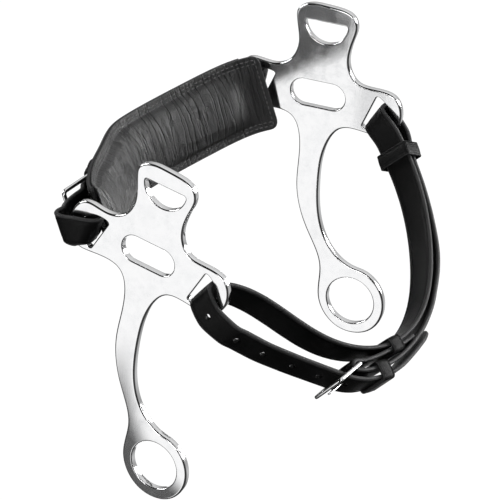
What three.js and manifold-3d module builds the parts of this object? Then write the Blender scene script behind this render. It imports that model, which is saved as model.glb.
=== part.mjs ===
// Bitless (mechanical) hackamore, millimetres.
// +X points to the horse's nose, +Y to the horse's left, +Z up.
// Two steel cheek plates carry a padded leather noseband in their front slots and a
// leather curb strap in their rear slots. Every strap is one ribbon swept along a
// centre line, with its own width direction at each station.
import * as THREE from "three";
import { mergeVertices } from "three/addons/utils/BufferGeometryUtils.js";
import Module from "manifold-3d";

const wasm = await Module();
wasm.setup();

// ---------------------------------------------------------------- driving dimensions
const BOX_CENTRE = [-20.66, -2.16, -48.26]; // bounding-box centre in the construction frame
const PLATE_THICK = 4.3;
const PLATE_EDGE = 0.5; // chamfer round a cheek plate
const STRAP_WIDTH = 18.8; // 3/4 inch strap
const STRAP_THICK = 2.4;
const PAD_WIDTH = 47.5; // full width of the nose pad
const BACKING_THICK = 2.2;
const LINING_THICK = 1.2;
const PAD_BULGE = 8.65; // how far the padding rises above the lining flange
const CHAPE_THICK = 1.5;
const WIRE_R = 1.3; // buckle wire radius
const BUCKLE_LENGTH = 22; // heel bar to front bar
const BUCKLE_WIDTH = 26.6; // outside width
const KEEPER_WALL = 1.5;
const HOLE_R = 2; // punched billet holes
const LONG_HOLE_WIDTH = 4.6; // the longer holes the tongues stand in

// ---------------------------------------------------------------- materials
const STEEL = { color: 0xdfe2e4, roughness: 0.12, metalness: 1.0 };
const WIRE = { color: 0xcfd2d5, roughness: 0.18, metalness: 1.0 };
const LEATHER = { color: 0x0d0d0e, roughness: 0.42, metalness: 0.0 };
const SOFT_LEATHER = { color: 0x101011, roughness: 0.5, metalness: 0.0 };
const FOAM = { color: 0x2b2b2d, roughness: 0.95, metalness: 0.0 };

// ---------------------------------------------------------------- scene and placing
const vec = (a) => new THREE.Vector3(...a);
const radians = THREE.MathUtils.degToRad;

const root = new THREE.Group();
root.name = "bitless_hackamore";
const frame = new THREE.Group(); // construction frame, moved so that the box centre is the origin
frame.position.copy(vec(BOX_CENTRE)).negate();
root.add(frame);

function add(name, geometry, look, parent = frame) {
  const mesh = new THREE.Mesh(geometry, new THREE.MeshStandardMaterial({ name, ...look }));
  mesh.name = name;
  parent.add(mesh);
}

// adds a mesh inside a group that stands at `matrix`
function addStanding(name, geometry, look, matrix) {
  const stand = new THREE.Group();
  stand.applyMatrix4(matrix);
  frame.add(stand);
  add(name, geometry, look, stand);
}

function basis(x, y, z, at) {
  return new THREE.Matrix4().makeBasis(x, y, z).setPosition(at);
}

// A strap station is { at, along, out }: a point, the way along the strap, the way out of it.
// Its frame has x across the strap, y along it, z out of it.
function strapFrame({ at, along, out }) {
  return basis(along.clone().cross(out), along, out, at);
}

// ---------------------------------------------------------------- solids
function solidOf(geometry) {
  const bare = geometry.clone();
  bare.deleteAttribute("normal");
  bare.deleteAttribute("uv");
  const merged = mergeVertices(bare, 1e-4);
  return new wasm.Manifold(
    new wasm.Mesh({
      numProp: 3,
      vertProperties: new Float32Array(merged.attributes.position.array),
      triVerts: new Uint32Array(merged.index.array),
    }),
  );
}

function geometryOf(solid) {
  const mesh = solid.getMesh();
  const positions = new Float32Array(mesh.numVert * 3);
  for (let i = 0; i < mesh.numVert; i++) {
    for (let k = 0; k < 3; k++) {
      positions[3 * i + k] = mesh.vertProperties[mesh.numProp * i + k];
    }
  }
  const geometry = new THREE.BufferGeometry();
  geometry.setAttribute("position", new THREE.BufferAttribute(positions, 3));
  geometry.setIndex(new THREE.BufferAttribute(new Uint32Array(mesh.triVerts), 1));
  geometry.computeVertexNormals();
  return geometry;
}

function cut(geometry, ...tools) {
  const cutOne = (solid, tool) => solid.subtract(solidOf(tool));
  return geometryOf(tools.reduce(cutOne, solidOf(geometry)));
}

const join = (first, second) => geometryOf(solidOf(first).add(solidOf(second)));

// A closed solid through rings of equal point counts. `sections` holds the same rings as flat
// [a, b] points, used to cap the two ends; without it the last ring joins the first.
function skin(rings, sections) {
  const count = rings[0].length;
  const points = rings.flat();
  let triangles = [];
  const bands = sections ? rings.length - 1 : rings.length;
  for (let i = 0; i < bands; i++) {
    const here = i * count;
    const next = ((i + 1) % rings.length) * count;
    for (let k = 0; k < count; k++) {
      const k2 = (k + 1) % count;
      triangles.push([here + k, here + k2, next + k2], [here + k, next + k2, next + k]);
    }
  }
  const cap = (section, base, atStart) => {
    const outline = section.map(([a, b]) => new THREE.Vector2(a, b));
    const turn = THREE.ShapeUtils.area(outline) > 0 === atStart;
    for (const [a, b, c] of THREE.ShapeUtils.triangulateShape(outline, [])) {
      triangles.push([base + a, base + (turn ? c : b), base + (turn ? b : c)]);
    }
  };
  if (sections) {
    cap(sections[0], 0, true);
    cap(sections[sections.length - 1], (rings.length - 1) * count, false);
  }
  // a negative volume means the faces point inwards
  let volume = 0;
  for (const [a, b, c] of triangles) {
    volume += points[a].dot(points[b].clone().cross(points[c]));
  }
  if (volume < 0) triangles = triangles.map(([a, b, c]) => [a, c, b]);

  const positions = points.flatMap((p) => [p.x, p.y, p.z]);
  const geometry = new THREE.BufferGeometry();
  geometry.setAttribute("position", new THREE.Float32BufferAttribute(positions, 3));
  geometry.setIndex(triangles.flat());
  geometry.computeVertexNormals();
  return geometry;
}

const centripetal = (points) => new THREE.CatmullRomCurve3(points, false, "centripetal");
const centreLine = (rows) => centripetal(rows.map((row) => vec(row.slice(0, 3))));

// A strap: rectangular section swept along the control rows, `per` steps to a row.
// taper(run, total) scales the width at a distance `run` from the first end.
function strap(rows, { thick = STRAP_THICK, per = 3, taper = () => 1 } = {}) {
  const centre = centreLine(rows);
  const widths = rows.map((row) => vec(row.slice(3)));
  const widthCurve = new THREE.CatmullRomCurve3(widths, false, "catmullrom", 0.5);
  const count = (rows.length - 1) * per;
  const points = Array.from({ length: count + 1 }, (_, i) => centre.getPoint(i / count));
  const runs = [0];
  for (let i = 1; i <= count; i++) runs.push(runs[i - 1] + points[i].distanceTo(points[i - 1]));

  const sections = runs.map((run) => {
    const h = (STRAP_WIDTH / 2) * taper(run, runs[count]);
    return [
      [h, thick / 2],
      [h, -thick / 2],
      [-h, -thick / 2],
      [-h, thick / 2],
    ];
  });
  const rings = points.map((point, i) => {
    const across = widthCurve.getPoint(i / count).normalize();
    const out = centre.getTangent(i / count).cross(across).normalize();
    return sections[i].map(([a, b]) =>
      point.clone().addScaledVector(across, a).addScaledVector(out, b),
    );
  });
  return skin(rings, sections);
}

// width scale of a pointed strap end, `length` long
const TIP_START = 0.32; // share of the full width at the very end
const tipScale = (run, length) =>
  run < length ? TIP_START + (1 - TIP_START) * Math.pow(run / length, 0.6) : 1;

// tool for a hole in a billet: a box when it has a length, else a round punch
function holeTool(station, length, depth) {
  const tool = length
    ? new THREE.BoxGeometry(LONG_HOLE_WIDTH, length, depth)
    : new THREE.CylinderGeometry(HOLE_R, HOLE_R, depth, 12).rotateX(Math.PI / 2);
  return tool.applyMatrix4(strapFrame(station));
}

// tool for the slot that clears the tongue's hub in the fold round a heel bar
const HUB_SLOT_SHIFT = 1.6; // from the heel bar towards the fold
const HUB_SLOT_DEPTH = 12;
function hubSlotTool({ at, along, out }, { width, length, sink }) {
  const centre = at.clone().addScaledVector(along, -HUB_SLOT_SHIFT).addScaledVector(out, -sink);
  const tool = new THREE.BoxGeometry(width, length, HUB_SLOT_DEPTH);
  return tool.applyMatrix4(strapFrame({ at: centre, along, out }));
}

// ---------------------------------------------------------------- cheek plates
// D-shaped holes: centre of the flat wall (x towards the rear, v up), its angle in degrees,
// half its length, depth of the bulge, and the side it bulges to (1 is right of the wall)
const TOP_D = { x: 3.08, v: 46.4, angle: 0, half: 13.4, depth: 13.4, side: 1 };
const REAR_D = { x: 32.64, v: -3.82, angle: 67.4, half: 11.4, depth: 13.2, side: 1 };
const FRONT_D = { x: -32.15, v: -2.34, angle: 66.9, half: 11.4, depth: 13.2, side: -1 };
const D_CORNER = 1.6;
const MID_SLOT = { x: -0.17, v: 0, half: 17.16, r: 8.14 };
const RING_HOLE = { x: 27.2, v: -130.2, r: 15 };

// cheek outline, counter-clockwise: x towards the rear, v up
const CHEEK_OUTLINE = [
  [-16.16, 48.77], [-16.03, 45.96], [-14.27, 34.51], [-14.17, 30.99], [-14.57, 27.78],
  [-15.42, 24.8], [-16.65, 22.14], [-18.26, 19.75], [-20.02, 17.93], [-22.2, 16.39],
  [-24.64, 15.27], [-27.31, 14.58], [-30.14, 14.32], [-33.9, 14.56], [-39.56, 15.24],
  [-42.41, 15.23], [-44.47, 14.79], [-46.32, 13.9], [-48.05, 12.52], [-49.62, 10.65],
  [-50.96, 8.29], [-52.05, 5.36], [-52.74, 2.06], [-52.94, -1.18], [-52.67, -4.39],
  [-51.95, -7.31], [-50.86, -9.88], [-49.43, -12.05], [-47.88, -13.64], [-46.13, -14.79],
  [-44.22, -15.46], [-41.73, -15.75], [-37.79, -15.56], [-30.8, -14.88], [-25.76, -14.73],
  [-22.29, -15.04], [-19.58, -15.72], [-17.57, -16.66], [-15.88, -17.99], [-14.49, -19.67],
  [-13.19, -22.05], [-12.15, -25.06], [-11.35, -28.95], [-10.86, -34.08], [-10.81, -40.37],
  [-11.53, -54.99], [-11.48, -60.86], [-10.96, -66.28], [-9.93, -71.84], [-8.39, -77.5],
  [-6.38, -83.05], [-3.8, -88.76], [2.62, -101.05], [4.46, -105.52], [5.51, -109.24],
  [6.02, -112.78], [6.08, -117.2], [5.68, -124.19], [5.64, -129.16], [6.02, -132.66],
  [6.86, -135.93], [8.15, -139.05], [9.94, -142.09], [12.04, -144.72], [14.48, -147.02],
  [17.1, -148.86], [19.83, -150.22], [22.9, -151.2], [25.96, -151.69], [29.25, -151.73],
  [32.5, -151.29], [35.63, -150.39], [38.42, -149.1], [40.81, -147.48], [43.02, -145.42],
  [44.99, -142.91], [46.58, -140.11], [47.82, -136.94], [48.6, -133.62], [48.9, -130.37],
  [48.73, -126.96], [48.13, -123.93], [47.03, -120.87], [45.48, -118.01], [43.52, -115.41],
  [41.33, -113.24], [38.73, -111.35], [36.14, -110.02], [33.37, -109.12], [28.48, -108.24],
  [25.49, -107.46], [22.37, -106.1], [19.35, -104.24], [16.47, -101.91], [13.73, -99.06],
  [11.29, -95.83], [9.17, -92.23], [7.32, -88.13], [5.74, -83.37], [4.52, -78.12],
  [3.64, -72.09], [3.13, -65.03], [3.01, -57.7], [3.19, -50.41], [3.7, -44.05],
  [4.57, -38.73], [5.86, -33.81], [7.53, -29.25], [9.34, -25.58], [11.18, -22.83],
  [13.1, -20.74], [14.93, -19.39], [16.95, -18.47], [19.56, -17.87], [22.67, -17.71],
  [27.71, -18.06], [34.33, -18.74], [38.27, -18.78], [41.13, -18.4], [43.67, -17.6],
  [45.89, -16.41], [48, -14.74], [49.79, -12.7], [51.24, -10.36], [52.27, -7.76],
  [52.85, -4.96], [52.94, -2.07], [52.56, 0.8], [51.78, 3.34], [50.6, 5.61], [49.23, 7.28],
  [47.57, 8.56], [45.51, 9.51], [42.9, 10.15], [38.95, 10.52], [32.21, 10.65],
  [28.31, 10.99], [26.04, 11.57], [24.25, 12.5], [22.45, 14.03], [20.95, 15.94],
  [19.64, 18.4], [18.73, 21.16], [18.27, 24.14], [18.26, 27.48], [18.76, 31.31],
  [19.94, 36.23], [21.81, 42.3], [22.4, 45.14], [22.43, 47.39], [21.95, 49.61],
  [21.08, 51.51], [19.85, 53.11], [18.31, 54.33], [16.23, 55.32], [13.44, 56.05],
  [9.1, 56.55], [1.85, 56.99], [-3.15, 57.1], [-6.53, 56.75], [-9.43, 55.97],
  [-11.84, 54.88], [-13.85, 53.47], [-15.11, 52.05], [-15.86, 50.51],
];

// where each cheek stands: origin, then its x, y and z axes
const CHEEKS = {
  left_cheek_plate: {
    at: [3.2715, 94.5415, -12.6342],
    x: [0.99436, -0.06644, 0.08264],
    y: [0.06795, 0.99757, -0.01562],
    z: [-0.0814, 0.02115, 0.99646],
  },
  right_cheek_plate: {
    at: [-3.2715, -94.5415, 12.6342],
    x: [0.99436, 0.06795, -0.0814],
    y: [-0.06644, 0.99757, 0.02115],
    z: [0.08264, -0.01562, 0.99646],
  },
};

function dHole({ x, v, angle, half, depth, side }, segments = 18) {
  const turn = radians(angle);
  const wall = [Math.cos(turn), Math.sin(turn)];
  const bulgeWay = [side * Math.sin(turn), -side * Math.cos(turn)];
  const inset = Math.asin(D_CORNER / depth);
  const points = []; // along the wall, away from it
  for (let i = 0; i <= segments; i++) {
    const a = inset + ((Math.PI - 2 * inset) * i) / segments;
    points.push([-Math.cos(a) * half, Math.sin(a) * depth]);
  }
  // eased corners into the flat wall
  const flat = half - D_CORNER * 0.9;
  const easeAlong = flat + D_CORNER * 0.55;
  const easeAway = D_CORNER * 0.35;
  points.push([easeAlong, easeAway], [flat, 0], [-flat, 0], [-easeAlong, easeAway]);
  return points.map(([along, away]) => [
    x + wall[0] * along + bulgeWay[0] * away,
    v + wall[1] * along + bulgeWay[1] * away,
  ]);
}

function obround({ x, v, half, r }, segments = 12) {
  const points = [];
  for (const end of [1, -1]) {
    for (let i = 0; i <= segments; i++) {
      const a = (-end * Math.PI) / 2 + (Math.PI * i) / segments;
      points.push([x + end * (half - r) + Math.cos(a) * r, v + Math.sin(a) * r]);
    }
  }
  return points;
}

function circle({ x, v, r }, segments = 36) {
  return Array.from({ length: segments }, (_, i) => {
    const a = (2 * Math.PI * (i + 0.5)) / segments - Math.PI / 2;
    return [x + Math.cos(a) * r, v + Math.sin(a) * r];
  });
}

// x forward, z up, thickness from y = 0 to -PLATE_THICK
function cheekGeometry() {
  const forward = (points) => points.map(([x, v]) => new THREE.Vector2(-x, v));
  const shape = new THREE.Shape(forward(CHEEK_OUTLINE).reverse());
  const holes = [dHole(TOP_D), obround(MID_SLOT), dHole(REAR_D), dHole(FRONT_D), circle(RING_HOLE)];
  shape.holes.push(...holes.map((points) => new THREE.Path(forward(points))));
  const geometry = new THREE.ExtrudeGeometry(shape, {
    depth: PLATE_THICK - 2 * PLATE_EDGE,
    bevelEnabled: true,
    bevelThickness: PLATE_EDGE,
    bevelSize: PLATE_EDGE,
    bevelOffset: -PLATE_EDGE,
    bevelSegments: 1,
    steps: 1,
  });
  return geometry.translate(0, 0, PLATE_EDGE).rotateX(Math.PI / 2);
}

const cheek = cheekGeometry();
for (const [name, { x, y, z, at }] of Object.entries(CHEEKS)) {
  addStanding(name, cheek, STEEL, basis(vec(x), vec(y), vec(z), vec(at)));
}

// ---------------------------------------------------------------- noseband arch
// it lies in one plane, along L from the left slot to the right, F forward, UP across
const NOSE_AT = vec([35.282, 90.211, -12.273]);
const NOSE_L = vec([-0.03571, -0.9936, 0.10715]);
const NOSE_F = vec([0.92683, -0.07303, -0.3683]);
const NOSE_UP = vec([0.37377, 0.08616, 0.92351]);
const ARCH_LENGTH = 191.545;
// the arch at equal steps of its length: distance along L, distance along F
const ARCH = [
  [9.2, 0.5], [12.04, 5.74], [16.2, 10.02], [21.02, 13.57], [26.07, 16.79], [31.23, 19.82],
  [36.51, 22.64], [41.91, 25.21], [47.43, 27.53], [53.02, 29.69], [58.62, 31.78],
  [64.22, 33.9], [69.77, 36.14], [75.31, 38.4], [80.92, 40.51], [86.64, 42.24],
  [92.55, 43.17], [98.51, 42.77], [104.33, 41.39], [110.05, 39.63], [115.7, 37.65],
  [121.28, 35.5], [126.82, 33.23], [132.33, 30.88], [137.81, 28.48], [143.27, 26.03],
  [148.73, 23.56], [154.14, 21.01], [159.46, 18.26], [164.59, 15.19], [169.4, 11.63],
  [173.56, 7.33], [176.6, 2.2],
];
const archCurve = centripetal(ARCH.map(([l, f]) => new THREE.Vector3(l, f, 0)));

// point at arc length s, `offset` outwards (away from the head), `height` across the pad;
// beyond its ends the arch runs on straight
function nosePoint(s, offset = 0, height = 0) {
  const t = THREE.MathUtils.clamp(s / ARCH_LENGTH, 0, 1);
  const tangent = archCurve.getTangent(t);
  const point = archCurve.getPoint(t).addScaledVector(tangent, s - t * ARCH_LENGTH);
  return NOSE_AT.clone()
    .addScaledVector(NOSE_L, point.x - tangent.y * offset)
    .addScaledVector(NOSE_F, point.y + tangent.x * offset)
    .addScaledVector(NOSE_UP, height);
}

// ---------------------------------------------------------------- nose pad
const PAD_HALF = PAD_WIDTH / 2;
const PAD_START = 2;
const PAD_END = ARCH_LENGTH + 6; // the lining's far flange runs on inside the right cheek
const PAD_CORNER = 4.5;
const LAYER_GAP = 0.15; // from the arch to the lining and to the backing
const POCKET_HALF = 17.4; // half width of the lining's hollow
const BULGE_STEP = 0.02; // keeps the bulge apart from the flange where the padding fades out
// the padding fades in and out at the arch ends: first gap, last gap, length of the fade
const FADE = { start: 8, end: 4, length: 16 };

const steps = (a, b, n) => Array.from({ length: n + 1 }, (_, i) => a + ((b - a) * i) / n);

// a layer along the arch whose section is a list of [height, offset] points
function archLayer(stations, section) {
  const sections = stations.map(section);
  const rings = stations.map((s, i) => sections[i].map(([h, o]) => nosePoint(s, o, h)));
  return skin(rings, sections);
}

// rise of the padding at arc length s and height h, for a dome of half width w
function bulge(s, h, w) {
  const { smoothstep } = THREE.MathUtils;
  const fadeIn = smoothstep(s, FADE.start, FADE.start + FADE.length);
  const fadeOut = smoothstep(ARCH_LENGTH - FADE.end - s, 0, FADE.length);
  const dome = Math.pow(Math.max(0, 1 - Math.pow(Math.abs(h) / w, 2.6)), 0.62);
  return fadeIn * fadeOut * PAD_BULGE * dome;
}

function liningSection(s) {
  const outer = -LAYER_GAP;
  const inner = outer - LINING_THICK;
  const domeHalf = POCKET_HALF + LINING_THICK;
  // the flange corners are rounded at the far end
  const intoCorner = Math.max(0, s - PAD_END + PAD_CORNER);
  const rounding = Math.sqrt(Math.max(0, PAD_CORNER ** 2 - intoCorner ** 2));
  const edge = PAD_HALF - PAD_CORNER + rounding;
  const dome = (heights, face, w) => heights.map((h) => [h, face - BULGE_STEP - bulge(s, h, w)]);
  return [
    [edge, outer],
    [POCKET_HALF, outer],
    ...dome([16.2, 13, 8, 0, -8, -13, -16.2], outer, POCKET_HALF),
    [-POCKET_HALF, outer],
    [-edge, outer],
    [-edge, inner],
    [-domeHalf, inner],
    ...dome([-17.6, -15, -9, 0, 9, 15, 17.6], inner, domeHalf),
    [domeHalf, inner],
    [edge, inner],
  ];
}

function foamSection(s) {
  const heights = [-15.2, -12.6, -8, 0, 8, 12.6, 15.2];
  return [
    [15.4, -0.45],
    [-15.4, -0.45],
    ...heights.map((h) => [h, Math.min(-0.75, 0.45 - bulge(s, h, 17))]),
  ];
}

function backingSection() {
  return [
    [PAD_HALF, LAYER_GAP],
    [PAD_HALF, LAYER_GAP + BACKING_THICK],
    [-PAD_HALF, LAYER_GAP + BACKING_THICK],
    [-PAD_HALF, LAYER_GAP],
  ];
}

const liningStations = [
  ...steps(PAD_START, PAD_END - PAD_CORNER, 32),
  ...[2.6, 1.3, 0.5, 0.12, 0].map((back) => PAD_END - back),
];
const foamStations = steps(17, ARCH_LENGTH - 14, 20);
const backingStations = steps(PAD_START + 2.5, ARCH_LENGTH - 5.5, 32);
add("noseband_pad_lining", archLayer(liningStations, liningSection), SOFT_LEATHER);
add("noseband_foam", archLayer(foamStations, foamSection), FOAM);
add("noseband_backing", archLayer(backingStations, backingSection), LEATHER);

// ---------------------------------------------------------------- buckles and keepers
// buckle frame: x across the strap, y from the heel bar to the front bar, z out of the strap
const BUCKLE_CORNER = 2.2; // bend radius of the wire's centre line
const TONGUE = {
  hubWidth: 3.4,
  hubClearance: 0.2, // between heel bar and hub
  hubReach: 1.15, // hub outside over the wire
  barWidth: 2.6,
};

// round wire along a closed loop in the xy plane
function closedWire(points, radius, sides = 10) {
  const count = points.length;
  const z = new THREE.Vector3(0, 0, 1);
  const rings = points.map((point, i) => {
    const before = points[(i + count - 1) % count];
    const after = points[(i + 1) % count];
    const side = after.clone().sub(before).normalize().cross(z).normalize();
    return Array.from({ length: sides }, (_, k) => {
      const a = (2 * Math.PI * (k + 0.5)) / sides;
      return point
        .clone()
        .addScaledVector(side, Math.cos(a) * radius)
        .addScaledVector(z, Math.sin(a) * radius);
    });
  });
  return skin(rings);
}

function buckleFrame() {
  const x = BUCKLE_WIDTH / 2 - WIRE_R - BUCKLE_CORNER;
  const front = BUCKLE_LENGTH - BUCKLE_CORNER;
  const heel = BUCKLE_CORNER;
  const corners = [[x, front], [-x, front], [-x, heel], [x, heel]];
  const points = corners.flatMap(([cx, cy], quarter) =>
    steps(0, 1, 4).map((t) => {
      const a = (Math.PI / 2) * (quarter + t);
      const dx = Math.cos(a) * BUCKLE_CORNER;
      const dy = Math.sin(a) * BUCKLE_CORNER;
      return new THREE.Vector3(cx + dx, cy + dy, 0);
    }),
  );
  return closedWire(points, WIRE_R);
}

// a hub round the heel bar, then a bar that rests over the front bar;
// `lift` is the height of the bar's underside near the hub
function buckleTongue(lift) {
  const inner = WIRE_R + TONGUE.hubClearance;
  const outer = WIRE_R + TONGUE.hubReach;
  const hubHalf = TONGUE.hubWidth / 2;
  const hubSection = [
    [inner, -hubHalf],
    [outer, -hubHalf],
    [outer, hubHalf],
    [inner, hubHalf],
    [inner, -hubHalf],
  ];
  const hub = new THREE.LatheGeometry(
    hubSection.map(([r, x]) => new THREE.Vector2(r, x)),
    16,
  ).rotateZ(Math.PI / 2);

  const rest = WIRE_R + 0.3; // underside over the front bar
  // side view of the bar: y, z
  const profile = [
    [1.72, -0.5],
    [1.4, 1.4],
    [6, lift + 1.6],
    [BUCKLE_LENGTH - 4, rest + 1.8],
    [BUCKLE_LENGTH + 1.9, rest + 1.4],
    [BUCKLE_LENGTH + 2, rest + 0.2],
    [BUCKLE_LENGTH - 1, rest],
    [BUCKLE_LENGTH - 5, rest],
    [7, lift],
  ];
  const bar = new THREE.ExtrudeGeometry(
    new THREE.Shape(profile.map(([y, z]) => new THREE.Vector2(y, z))),
    { depth: TONGUE.barWidth, bevelEnabled: false },
  );
  // shape x -> y, shape y -> z, extrusion -> x
  const start = vec([-TONGUE.barWidth / 2, 0, 0]);
  bar.applyMatrix4(basis(vec([0, 1, 0]), vec([0, 0, 1]), vec([1, 0, 0]), start));
  return join(hub, bar);
}

const frameWire = buckleFrame();

// a buckle at its heel bar, lying back against `along` and tilted outwards by `tilt` degrees
function addBuckle(prefix, { at, along, out }, tilt, lift) {
  const cos = Math.cos(radians(tilt));
  const sin = Math.sin(radians(tilt));
  const y = along.clone().multiplyScalar(-cos).addScaledVector(out, sin);
  const z = along.clone().multiplyScalar(sin).addScaledVector(out, cos);
  const matrix = basis(y.clone().cross(z), y, z, at);
  addStanding(prefix + "_buckle_frame", frameWire, WIRE, matrix);
  addStanding(prefix + "_buckle_tongue", buckleTongue(lift), WIRE, matrix);
}

function roundedRect(path, halfWidth, bottom, top, r) {
  const x = halfWidth - r;
  path.moveTo(-x, bottom);
  path.lineTo(x, bottom);
  path.absarc(x, bottom + r, r, -Math.PI / 2, 0);
  path.lineTo(halfWidth, top - r);
  path.absarc(x, top - r, r, 0, Math.PI / 2);
  path.lineTo(-x, top);
  path.absarc(-x, top - r, r, Math.PI / 2, Math.PI);
  path.lineTo(-halfWidth, bottom + r);
  path.absarc(-x, bottom + r, r, Math.PI, 1.5 * Math.PI);
  return path;
}

// a strap loop: rounded rectangular ring, x across, z out, centred along y;
// width and height are inside sizes, `base` is the wall under the strap
function keeperRing({ width, height, length, base = KEEPER_WALL }) {
  const outerHalf = width / 2 + KEEPER_WALL;
  const shape = roundedRect(new THREE.Shape(), outerHalf, -base, height + KEEPER_WALL, 1.5);
  shape.holes.push(roundedRect(new THREE.Path(), width / 2, 0, height, 0.4));
  const options = { depth: length, bevelEnabled: false, curveSegments: 3 };
  const geometry = new THREE.ExtrudeGeometry(shape, options);
  return geometry.rotateX(Math.PI / 2).translate(0, length / 2, 0);
}

// ---------------------------------------------------------------- noseband fittings
// Each side is laid out by arc length s from its own end of the arch and offset outwards.
const NOSE_HEEL = { s: 54, offset: 8.6 };
const NOSE_BUCKLE_TILT = 32;
const NOSE_TONGUE_LIFT = 0.9;
const NOSE_HUB_SLOT = { width: 5, length: 8.4, sink: 0 };
// chape centre line: s, offset
const CHAPE_SEWN = [
  [88, 5.95], [86, 6], [83.2, 6.9], [81, 7.7], [72, 7.7], [62.5, 7.7], [58.5, 7.3],
];
const CHAPE_UPPER = [[58, 10.3], [61.6, 9.45], [68, 9.4], [73, 9.4], [80, 9.4]];
const FOLD_ANGLES = [-70, -35, 0, 35, 70]; // degrees round the heel bar
const FOLD_R = WIRE_R + 0.25 + CHAPE_THICK / 2;
const NOSE_KEEPER = { width: STRAP_WIDTH + 0.9, height: 6.95, length: 7, base: 1.35 };
const NOSE_KEEPER_OFFSET = 6.8;
const NOSE_KEEPERS = [["_nose_keeper", 66], ["_nose_tip_keeper", 75.5]]; // name, s
// billet holes: s, length (0 for a round one); the long one is under the tongue
const NOSE_HOLES = [[49, 9.4], [31, 0]];
const NOSE_HOLE_OFFSET = 14.5;
const NOSE_HOLE_DEPTH = 9;

const noseHoleTools = [];
function addNoseSide(side) {
  const point = (s, offset) => nosePoint(side === "left" ? s : ARCH_LENGTH - s, offset);
  const station = (s, offset) => {
    const at = point(s, offset);
    return {
      at,
      along: point(s + 1, offset).sub(point(s - 1, offset)).normalize(),
      out: point(s, offset + 1).sub(at).normalize(),
    };
  };

  // chape: sewn layer, fold round the heel bar, upper layer
  const heel = station(NOSE_HEEL.s, NOSE_HEEL.offset);
  const fold = FOLD_ANGLES.map(radians).map((a) =>
    heel.at
      .clone()
      .addScaledVector(heel.along, -Math.cos(a) * FOLD_R)
      .addScaledVector(heel.out, Math.sin(a) * FOLD_R),
  );
  const layer = (rows) => rows.map(([s, offset]) => point(s, offset));
  const line = [...layer(CHAPE_SEWN), ...fold, ...layer(CHAPE_UPPER)];
  const rows = line.map((p) => [...p.toArray(), ...NOSE_UP.toArray()]);
  const chape = strap(rows, { thick: CHAPE_THICK, per: 2 });
  add(side + "_nose_chape", cut(chape, hubSlotTool(heel, NOSE_HUB_SLOT)), LEATHER);

  addBuckle(side + "_nose", heel, NOSE_BUCKLE_TILT, NOSE_TONGUE_LIFT);
  for (const [name, s] of NOSE_KEEPERS) {
    const matrix = strapFrame(station(s, NOSE_KEEPER_OFFSET));
    addStanding(side + name, keeperRing(NOSE_KEEPER), LEATHER, matrix);
  }
  for (const [s, length] of NOSE_HOLES) {
    noseHoleTools.push(holeTool(station(s, NOSE_HOLE_OFFSET), length, NOSE_HOLE_DEPTH));
  }
}
addNoseSide("left");
addNoseSide("right");

// ---------------------------------------------------------------- noseband strap
const NOSE_TIP = 8; // length of each pointed end
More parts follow.
